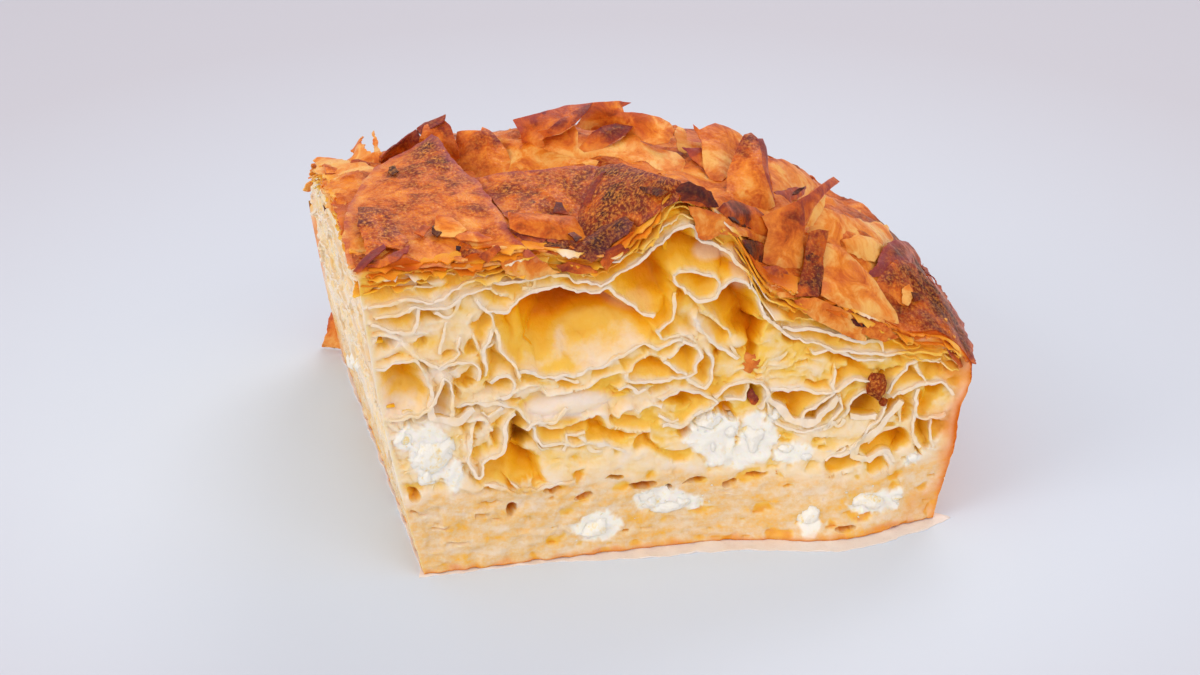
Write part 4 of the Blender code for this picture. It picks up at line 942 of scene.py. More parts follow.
def reliefPoints(cut):
    # points beside the sheets' edges, round the holes, and between them, thinner outside the slice
    (u0, v0), (u1, v1) = cut["region"]
    points = [(u0, v0), (u1, v0), (u1, v1), (u0, v1)]
    lines = [(0, 1), (1, 2), (2, 3), (3, 0)]
    for _, pts in cut["sheets"]:
        line = smoothLine(pts, relief["lineStep"])
        for offset in relief["rows"]:
            points.extend((p.x, p.y) for p in besideLine(line, offset))
    guard = len(points)
    for cu, cv, ru, rv, _ in cut["holes"]:
        turns = [2 * math.pi * k / 14 for k in range(14)]
        lines.extend((len(points) + k, len(points) + (k + 1) % 14) for k in range(14))
        points.extend((cu + ru * math.cos(a), cv + rv * math.sin(a)) for a in turns)
    grid = relief["grid"]
    free = staggeredGrid((u0 + grid, v0 + grid), (u1 - grid, v1 - grid), grid)
    inner = (free[:, 0] > -14) & (free[:, 0] < 99) & (free[:, 1] < 64) & (free[:, 1] > -1)
    free = free[inner | (np.arange(len(free)) % 7 == 0)]
    tooNear = np.zeros(len(free), bool)
    placed = np.array(points[4:guard])
    for start in range(0, len(free), 2000):
        part = free[start:start + 2000]
        gap = np.hypot(part[:, None, 0] - placed[None, :, 0], part[:, None, 1] - placed[None, :, 1])
        tooNear[start:start + 2000] = gap.min(1) < grid * 0.45
    points.extend(map(tuple, free[~tooNear].tolist()))
    return points, lines


def makeKnife(side):
    # the cut with its relief, drawn out to a solid in front of it
    cut = cuts[side]
    points, lines = reliefPoints(cut)
    found, _, faces, _, _, _ = delaunay_2d_cdt([Vector(p) for p in points], lines, [], 0, 0.03)
    flatU, flatV = np.array([(p.x, p.y) for p in found]).T
    depth = reliefDepth(flatU, flatV, cut)
    u, v = reliefWarp(flatU, flatV, cut)
    knife = objectFrom(side + "Knife", cut["place"](u, v, depth), faces)
    axis, reach = cut["pull"]

    def drawOut(mesh):
        rim = [edge for edge in mesh.edges if edge.is_boundary]
        grown = bmesh.ops.extrude_edge_only(mesh, edges=rim)["geom"]
        for vert in (g for g in grown if isinstance(g, bmesh.types.BMVert)):
            vert.co[axis] = (pie["corner"][axis] + reach) * mm
        ends = [g for g in grown if isinstance(g, bmesh.types.BMEdge) and g.is_boundary]
        bmesh.ops.holes_fill(mesh, edges=ends)
        turnOutwards(mesh)

    editMesh(knife.data, drawOut)
    setMaterial(knife, cutMaterial)
    return knife


body = {
    "columns": 160,
    "rows": 140,
    "upperRings": (27.6, 20, 9),   # heights of the first and last ring of points, and their number
    "lowerRings": (19.3, pie["floor"], 21),
    "wallLength": 190,
    "wrinkles": ((0.34, 7, 1.1, 3.3), (0.55, 3.4, 9, 6.1)),
    "backDrop": 1.3,
    "cornerDrop": 4.4,
}


def panEdge(share, inset):
    # places along the pan's wall, from the front right (0) round the corner to the back left (1)
    radius = pie["cornerRadius"]
    rightRun = pie["backEdge"] - radius + pie["spareFront"]
    backRun = pie["rightEdge"] - radius + pie["spareLeft"]
    halfArc = radius * math.pi / 4
    run = np.where(share < 0.5, 2 * share * (rightRun + halfArc),
                   rightRun + halfArc + (2 * share - 1) * (halfArc + backRun))
    centre = np.array([pie["rightEdge"] - radius, pie["backEdge"] - radius])
    turn = np.clip((run - rightRun) / radius, 0, math.pi / 2)
    bulge = pie["bulge"] * arch((centre[1] + radius * np.sin(turn)) / pie["bulgeLength"])
    x = centre[0] + (radius - inset + bulge) * np.cos(turn)
    y = centre[1] + (radius - inset) * np.sin(turn)
    early = run < rightRun
    x = np.where(early, rightEdge(run - pie["spareFront"]) - inset, x)
    y = np.where(early, run - pie["spareFront"], y)
    late = run > rightRun + 2 * halfArc
    x = np.where(late, centre[0] - (run - rightRun - 2 * halfArc), x)
    return np.stack([x, y], -1)


def crustDrop(x, y):
    # how much lower the crust lies towards the back and its left corner
    corner = smoothStep((22 - x) / 26) * smoothStep((y - 46) / 32)
    return body["backDrop"] * smoothStep((y - 12) / 16) + body["cornerDrop"] * corner


def skinHeight(x, y):
    return crustHeight(x, y) - crustDrop(x, y)


def crustSkin(x, y):
    # the crust as built, plus blisters and fine creases
    z = crustHeight(x, y) + crumple(x, y)
    crease = np.abs(noiseAt(x / 3.2, y / 2.3, 14.2))
    z = z + 0.5 * (0.25 - crease) + 0.22 * noiseAt(x / 1.3, y / 1.3, 21.5)
    return z - crustDrop(x, y) + 0.6 * smoothStep((noiseAt(x / 7, y / 7, 31.0) - 0.28) / 0.2)


def quads(grid):
    # the faces between the points of a grid
    corners = grid[:-1, :-1], grid[:-1, 1:], grid[1:, 1:], grid[1:, :-1]
    return np.stack(corners, -1).reshape(-1, 4).tolist()


def ringPair(first, second):
    # two rings of points, closed, as a grid
    return np.stack([np.append(first, first[0]), np.append(second, second[0])])


def makeBlock():
    # the uncut corner of the pie: its crust as a grid, then rings down the pan's wall
    cols, rows = body["columns"], body["rows"]
    across, inwards = np.linspace(0, 1, cols + 1), np.linspace(0, 1, rows + 1)
    s, t = [grid.reshape(-1, 1) for grid in np.meshgrid(across, inwards)]
    frontLeft = np.array([-pie["spareLeft"], -pie["spareFront"]])
    frontRight, middle, backLeft = [panEdge(np.array(share), 0.0) for share in (0.0, 0.5, 1.0)]
    right, back = panEdge(t[:, 0] / 2, 0.0), panEdge(1 - s[:, 0] / 2, 0.0)
    front, left = frontLeft + (frontRight - frontLeft) * s, frontLeft + (backLeft - frontLeft) * t
    corners = (frontLeft * (1 - s) + frontRight * s) * (1 - t) + (backLeft * (1 - s) + middle * s) * t
    plan = front * (1 - t) + back * t + left * (1 - s) + right * s - corners
    top = np.column_stack([plan, crustSkin(plan[:, 0], plan[:, 1])])
    index = np.arange(len(top)).reshape(rows + 1, cols + 1)
    faces = quads(index)
    loop = np.concatenate([index[0, :-1], index[:-1, -1], index[-1, :0:-1], index[:0:-1, 0]])
    ringS, ringT = s[loop, 0], t[loop, 0]
    onPan = (ringS == 1) | (ringT == 1)
    share = np.where(ringS == 1, ringT / 2, 1 - ringS / 2)
    points, above, count = [top], loop, len(top)
    for z in np.concatenate([np.linspace(*body["upperRings"]), np.linspace(*body["lowerRings"])]):
        wrinkle = noiseSum(share * body["wallLength"], z, body["wrinkles"])
        outward = wrinkle * smoothStep((28 - z) / 4) * smoothStep((z - pie["floor"]) / 3)
        plan = np.where(onPan[:, None], panEdge(share, wallInset(z) - outward), top[loop, :2])
        points.append(np.column_stack([plan, np.full(len(loop), z)]))
        ring = np.arange(count, count + len(loop))
        faces += quads(ringPair(above, ring).T)
        above, count = ring, count + len(loop)
    faces.append(above.tolist())
    block = objectFrom("sliceBody", np.concatenate(points), faces)
    editMesh(block.data, turnOutwards)
    setMaterial(block, crustMaterial)
    return block


def cutAway(block, knife):
    cut = block.modifiers.new("cut", "BOOLEAN")
    cut.operation = "DIFFERENCE"
    cut.solver = "MANIFOLD"
    cut.material_mode = "TRANSFER"
    cut.object = knife
    result = evaluatedMesh(block)
    block.modifiers.remove(cut)
    block.data = result
    bpy.data.objects.remove(knife)


def keepLargest(mesh):
    # drops the scraps that the knives leave beside the slice
    left = set(mesh.faces)
    parts = []
    while left:
        group = [left.pop()]
        for face in group:
            for other in [f for edge in face.edges for f in edge.link_faces]:
                if other in left:
                    left.remove(other)
                    group.append(other)
        parts.append(group)
    parts.sort(key=len)
    bmesh.ops.delete(mesh, geom=[face for group in parts[:-1] for face in group], context="FACES")
    print(len(parts) - 1, "scraps dropped")


def cutAttributes(obj):
    # painted shade by depth behind the cut, painted dark shade of the deep cells, custard share and browning,
    # at each vertex
    x, y, z = placesOn(obj)
    front, left = y - frontBow(x, z), x - leftCut(y, z)
    # painted shade by depth behind the cut, a little stronger towards the right
    depth = np.clip(np.minimum(front, left), 0, 14) * (0.7 + 0.5 * smoothStep((x - 2) / 34))
    near = smoothStep((17 - front) / 2)
    # less painted shade on the pale parts
    for part in paleParts:
        depth = depth * (1 - part[4] * blobShare(x, z, part) * near)
    stain = smoothStep(0.55 + 1.3 * noiseAt(x / 4.5, y / 4.5, z / 2.2))
    depth = depth + 2.4 * smoothStep((6.5 - (crustHeight(x, y) - z)) / 5) * stain
    warm, veil = np.zeros(len(x)), np.zeros(len(x))
    # painted dark shade in the deep cells, behind the front of the cut
    for cell in frontCells:
        warm = np.maximum(warm, cell[5] * blobShare(x, z, cell) * smoothStep((front - 1.2) / 3))
    for patch in veils:
        veil = np.maximum(veil, patch[4] * blobShare(x, z, patch))
    # browned under the crust, beside the pan and at the foot
    roof = crustHeight(x, y) + 0.4 - z
    pan = np.minimum(rightEdge(y) - x, backEdge(x) - y) - wallInset(z)
    ragged = 0.7 * noiseAt(x / 2.6, y / 2.6, z / 2.0)
    patchy = noiseAt(x / 5.0, y / 5.0, z / 5.0)
    rim = smoothStep((8.5 + 6 * patchy + 1.5 * ragged - pan) / 8.5)
    bake = np.maximum.reduce([
        0.40 * smoothStep((1.6 + ragged - roof) / 1.8),
        0.20 * smoothStep((4.2 + 2.5 * patchy - roof) / 4.5),
        (0.17 + 0.08 * patchy) * rim ** 1.3 + 0.10 * smoothStep((1.2 - pan) / 1.2),
        0.20 * smoothStep((1.9 + 1.8 * ragged - z) / 1.8) * (z < 4)])
    custard = smoothStep((custardTop(x, y) + 2.2 + 2.4 * patchy + 1.2 * ragged - z) / 3.5)
    # painted shade: the slits in the custard darker and more golden
    depth = depth + 4.5 * custard * smoothStep((depth - 0.6) / 0.8)
    setAttributes(obj, cellDepth=depth, warm=np.minimum(warm * 1.15, 1) * near,
                  veil=veil * near * smoothStep((depth - 0.3) / 0.5),
                  curd=curdShare(x, z) * smoothStep((3.2 - front) / 1.2),
                  custard=custard * (1 - 0.8 * smoothStep((depth - 0.8) / 1.2)))
    return x, y, z, bake


# Burnt patches of the crust: x, y, radius, strength
burntPatches = [(90, 24, 7, 0.35), (94, 34, 6, 0.3), (86, 12, 5, 0.25), (92, 8, 4, 0.3), (6, 3, 4, 0.3),
                (24, 2, 6, 0.25), (12, 60, 9, 0.22), (48, 70, 9, 0.25), (76, 62, 8, 0.22)]


def crustAttributes(obj):
    x, y, z, bake = cutAttributes(obj)
    onSkin = np.zeros(len(x), bool)
    for face in obj.data.polygons:
        if obj.data.materials[face.material_index] == crustMaterial:
            onSkin[list(face.vertices)] = True
    ridge = smoothStep((crumple(x, y) + 0.6) / 2.2)
    tone = 0.24 + 0.20 * ridge + 0.22 * noiseAt(x / 8, y / 8, z / 8)
    onRim = smoothStep((8 - np.minimum(rightEdge(y) - x, backEdge(x) - y)) / 8)
    tone = tone + 0.20 * onRim * smoothStep((z - 20) / 8)
    for px, py, radius, strength in burntPatches:
        tone = tone + strength * bell(np.hypot(x - px, y - py), radius) * (z > 18)
    side = smoothStep((26 - z) / 4)
    wall = 0.34 + 0.16 * noiseAt((x + y) / 9, z / 3, 2.0) - 0.10 * smoothStep((14 - z) / 12)
    tone = tone * (1 - side) + wall * side
    tone = np.where(z < pie["floor"] + 0.2, 0.3, tone)
    # painted highlights: the skin gets glint specks and gloss through its glitter share
    setAttributes(obj, bake=np.clip(np.where(onSkin, tone, bake), 0, 1), edge=0,
                  glitter=np.where(onSkin, 0.6, 0))


sliceBody = makeBlock()
for side in cuts:
    cutAway(sliceBody, makeKnife(side))
editMesh(sliceBody.data, keepLargest)
crustAttributes(sliceBody)
finishPiece(sliceBody, "pastry", "pastry", "custard_layer")

thinSheets = {
    "steps": 5,
    "stepDepth": 0.55,         # mm
    "thickness": {"front": 0.46, "left": 0.46, "ribbon": 1.05},
    "ruffleHeight": 0.7,
    "ruffleSize": 1.6,
    "tearHeight": 1.5,
    "wander": 0.3,
    "pointSpacing": 0.40,
    "recess": (-0.2, 0.35),
    "shortest": 8,             # points of the shortest piece of a sheet
    "share": {"front": 0.85, "left": 0.2, "ribbon": 1.0},  # of the sheets that also stand free
    "freeFrom": {"front": 44.0, "left": 200.0, "ribbon": 0.0},  # all of them do beyond here
    "deepest": 7.0,
    "seed": 4,
}
fringe = {
    # drop below the crust, reach past the cut, bake, depth of its painted golden shade
    "layers": [(-0.6, 0.4, 0.25, 5), (0.2, 0.6, 0.20, 5), (0.9, 0.4, 0.15, 5), (1.6, 0.5, 0.12, 5),
               (2.6, 0.3, 0.09, 4), (3.8, 0.2, 0.06, 2)],
    "ends": {"front": (-8.6, 92.5), "left": (0.6, 68.0)},
    "ragged": {"front": 1.0, "left": 0.5},
    "torn": ((1.7, 4.5, 1, 1.0), (0.9, 1.3, 1, 2.0), (0.5, 0.5, 1, 3.0)),
    "wave": ((0.45, 5, 6, 0), (0.28, 1.7, 3, 0)),
    "spacing": 0.42,
    "rows": 10,
    "inner": 3.2,
    "thickness": 0.26,
}


def thicken(obj, thickness):
    wall = obj.modifiers.new("thickness", "SOLIDIFY")
    wall.thickness = thickness * mm
    wall.offset = 0
    data = evaluatedMesh(obj)
    obj.modifiers.clear()
    obj.data = data


def makeFringe(side):
    # torn layers of dough along the top of a cut
    points, faces, bakes, depths, count = [], [], [], [], 0
    along = np.arange(*fringe["ends"][side], fringe["spacing"])
    rows = fringe["rows"]
    grid = np.arange(rows * len(along)).reshape(rows, len(along))
    share = np.linspace(0, 1, rows)[:, None]
    for k, (drop, reach, bake, golden) in enumerate(fringe["layers"]):
        place = k * 7.7 + (side == "left") * 50
        torn = noiseSum(along, place, fringe["torn"]) * fringe["ragged"][side]
        missing = 2.6 * smoothStep((noiseAt(along / 7, place, 4.0) - 0.12) / 0.12)
        out = np.maximum(reach + torn - missing, -fringe["inner"] + 1)
        behind = -out * (1 - share) + fringe["inner"] * share
        u = np.broadcast_to(along, behind.shape)
        lift = noiseSum(u, behind, fringe["wave"], place) * (0.6 + 0.25 * k)
        x, y = (u, behind) if side == "front" else (leftCut(u, 40) + behind, u)
        z = skinHeight(x, y) - drop + lift - 0.35 * np.maximum(-behind, 0) ** 1.5
        if side == "front":
            y = y + frontBow(x, z)
        else:
            x = leftCut(y, z) + behind
        points.append(np.stack([x, y, z], -1).reshape(-1, 3))
        faces += quads(grid + count)
        count += grid.size
        patch = noiseAt(x / 6, y / 6, z / 6 + place)
        bakes.append(np.clip(bake * (1 + 0.8 * patch) + 0.10 * patch * (bake > 0.02), 0, 1).ravel())
        # painted golden shade by depth behind the cut
        depths.append(np.clip(golden * (0.7 + 1.2 * patch) + 0.6 * (behind + out), 0, 9).ravel())
    obj = objectFrom(side + "Fringe", np.concatenate(points), faces)
    setAttributes(obj, bake=np.concatenate(bakes), cellDepth=np.concatenate(depths), warm=0, custard=0,
                  veil=0)
    setMaterial(obj, sheetMaterial)
    thicken(obj, fringe["thickness"])
    finishPiece(obj, "pastry")


# Geometry nodes
def vectorMath(operation, a, b):
    return addNode(treeOf(a, b), "ShaderNodeVectorMath", {0: a, 1: b}, operation=operation).outputs[0]


def combine(tree, x, y, z):
    return addNode(tree, "ShaderNodeCombineXYZ", {0: x, 1: y, 2: z}).outputs[0]


def centredNoise(tree, size, seed):
    place = addNode(tree, "GeometryNodeInputPosition").outputs[0]
    values = {"Vector": vectorMath("DIVIDE", place, combine(tree, size, size, size)), "W": seed,
              "Scale": 1.0, "Detail": 1.5}
    texture = addNode(tree, "ShaderNodeTexNoise", values, noise_dimensions="4D")
    return vectorMath("SUBTRACT", texture.outputs["Color"], (0.5, 0.5, 0.5))


def realized(geometry):
    return addNode(treeOf(geometry), "GeometryNodeRealizeInstances", {"Geometry": geometry}).outputs[0]


def endTree(geometry, given, out):
    tree = treeOf(geometry)
    painted = addNode(tree, "GeometryNodeSetMaterial", {"Geometry": geometry, "Material": given["Material"]})
    connect(painted.outputs["Geometry"], out["Geometry"])
    return tree


def makeSheetTree():
    # grows a strip of dough inwards from each line, ruffled and torn along its cut edge
    sizes = (("Step Depth", "stepDepth"), ("Ruffle Height", "ruffleHeight"), ("Ruffle Size", "ruffleSize"),
             ("Tear Height", "tearHeight"), ("Wander", "wander"))
    inputs = [("Geometry", "Geometry"), ("Steps", "Int", thinSheets["steps"])]
    inputs += [(label, "Float", thinSheets[key]) for label, key in sizes]
    tree, given, out = newGroup("growSheets", "GeometryNodeTree",
                                inputs + [("Seed", "Float", 0.0), ("Material", "Material")],
                                [("Geometry", "Geometry")])
    lines = addNode(tree, "GeometryNodeCurveToMesh", {"Curve": given["Geometry"]}).outputs["Mesh"]
    loopIn, loopOut = addNode(tree, "GeometryNodeRepeatInput"), addNode(tree, "GeometryNodeRepeatOutput")
    loopIn.pair_with_output(loopOut)
    loopOut.repeat_items.new("BOOLEAN", "Top")
    for name, value in (("Iterations", given["Steps"]), ("Geometry", lines), ("Top", True)):
        connect(value, loopIn.inputs[name])
    sway = vectorMath("MULTIPLY", centredNoise(tree, 4.5, given["Seed"]),
                      combine(tree, given["Wander"], given["Wander"], 0.0))
    inward = combine(tree, 0.0, 0.0, given["Step Depth"])
    grow = addNode(tree, "GeometryNodeExtrudeMesh", {
        "Mesh": loopIn.outputs["Geometry"], "Selection": loopIn.outputs["Top"],
        "Offset": vectorMath("ADD", sway, inward), "Offset Scale": 1.0}, mode="EDGES")
    connect(grow.outputs["Mesh"], loopOut.inputs["Geometry"])
    connect(grow.outputs["Top"], loopOut.inputs["Top"])
    place = addNode(tree, "GeometryNodeInputPosition").outputs[0]
    behind = addNode(tree, "ShaderNodeSeparateXYZ", {0: place}).outputs["Z"]
    near = mapRange(behind, 0.0, 3.0, 1.0, 0.15)
    reach = combine(tree, given["Ruffle Height"], given["Ruffle Height"], given["Tear Height"])
    faded = vectorMath("MULTIPLY", reach, combine(tree, near, near, near))
    ruffle = vectorMath("MULTIPLY", centredNoise(tree, given["Ruffle Size"], given["Seed"]), faded)
    moved = addNode(tree, "GeometryNodeSetPosition",
                    {"Geometry": loopOut.outputs["Geometry"], "Offset": ruffle})
    return endTree(realized(moved.outputs["Geometry"]), given, out)


def applyTree(obj, tree, values, more=()):
    # runs a node tree, and any modifiers after it, and leaves plain mesh data
    modifier = obj.modifiers.new(tree.name, "NODES")
    modifier.node_group = tree
    for item in tree.interface.items_tree:
        if item.item_type == "SOCKET" and item.in_out == "INPUT" and item.name in values:
            modifier[item.identifier] = values[item.name]
    for kind, settings in more:
        extra = obj.modifiers.new(kind.title(), kind)
        for key, value in settings.items():
            setattr(extra, key, value)
    name, data = obj.name, evaluatedMesh(obj)
    bpy.data.objects.remove(obj)
    return linkObject(name, data)


# Thick pale edges of sheets that turn towards the front: setback, points along the cut and up
ribbons = [
    (0.0, [(82.6, 22.6), (80.6, 20.6), (78.2, 17.8), (75.2, 16.2), (73.7, 14.8), (74.2, 13.5), (76.2, 13.2),
           (78.6, 14.2), (80.0, 13.6), (80.9, 11.6)]),
    (0.2, [(73.4, 20.9), (75.2, 20.7), (77.4, 20.2)]),
    (0.1, [(59.2, 27.0), (61.0, 23.8), (63.6, 21.4), (66.4, 20.8), (69.2, 22.4), (71.4, 24.8)]),
    (0.2, [(2.2, 33.4), (1.4, 31.2), (3.2, 29.0), (6.4, 28.4), (9.0, 30.2)]),
]


def freeLines(sheets, seed, side):
    # the lines of the sheets that also stand free of the relief
    chance = random.Random(seed)
    lines = []
    for recess, pts in sheets:
        line = smoothLine(pts, thinSheets["pointSpacing"])
        middle = sum(p.x for p in line) / len(line)
        if chance.random() > thinSheets["share"][side] and middle < thinSheets["freeFrom"][side]:
            continue
        back = recess + chance.uniform(*thinSheets["recess"])
        lines.append([(p.x, p.y, back) for p in line])
    return lines


def insideFront(u, v):
    airy = v > 13.5 and float(curdShare(np.array(u), np.array(v))) < 0.3
    below = v < float(crustHeight(u, 0.0)) - 0.6
    return airy and below and insideRim(u, v) and u > float(leftCut(0, v)) + 1.0


def insideRim(u, v):
    return u < pie["rightEdge"] - float(wallInset(v)) - 2.2


def insideLeft(u, v):
    back = u < pie["backEdge"] - float(wallInset(v)) - 2.5
    return v > 13.5 and back and u > 1.4 and v < float(crustHeight(leftCut(u, v), u)) - 0.8


def makeSheets(side, sheets, seed, inside, cut):
    curves = bpy.data.curves.new(side + "Sheets", "CURVE")
    curves.dimensions = "3D"
    for line in freeLines(sheets, seed, side):
        run = []
        for point in line + [None]:
            if point and inside(*point[:2]):
                run.append(point)
                continue
            if len(run) >= thinSheets["shortest"]:
                spline = curves.splines.new("POLY")
                spline.points.add(len(run) - 1)
                for target, place in zip(spline.points, run):
                    target.co = (*place, 1)
            run = []
    thickness = [("SOLIDIFY", {"thickness": thinSheets["thickness"][side], "offset": 0.0})]
    piece = applyTree(linkObject(side + "Sheets", curves), sheetTree,
                      {"Seed": seed * 1.37, "Material": sheetMaterial}, thickness)
    u, v, depth = coordinates(piece).T
    depth = np.minimum(depth, thinSheets["deepest"])
    u, v = reliefWarp(u, v, cut)
    movePoints(piece, cut["place"](u, v, depth))
    setMaterial(piece, sheetMaterial)
    x, y, z, bake = cutAttributes(piece)
    under = smoothStep((5.5 - crustHeight(x, y) + z) / 4.5)
    # painted shade by depth behind the sheets' front edges, plus the golden band under the crust
    depth = np.clip(0.1 + 1.5 * np.maximum(depth - 0.4, 0) + 2.2 * under, 0, 14)
    setAttributes(piece, cellDepth=depth, warm=0, veil=0, curd=0, bake=bake * 0.8)
    finishPiece(piece, "pastry")


sheetTree = makeSheetTree()
makeSheets("front", cuts["front"]["sheets"], thinSheets["seed"], insideFront, cuts["front"])
makeSheets("ribbon", ribbons, thinSheets["seed"] + 9, insideRim, cuts["front"])
makeSheets("left", cuts["left"]["sheets"], thinSheets["seed"] + 5, insideLeft, cuts["left"])
for side in cuts:
    makeFringe(side)
print("free sheets and the torn layers under the crust made")
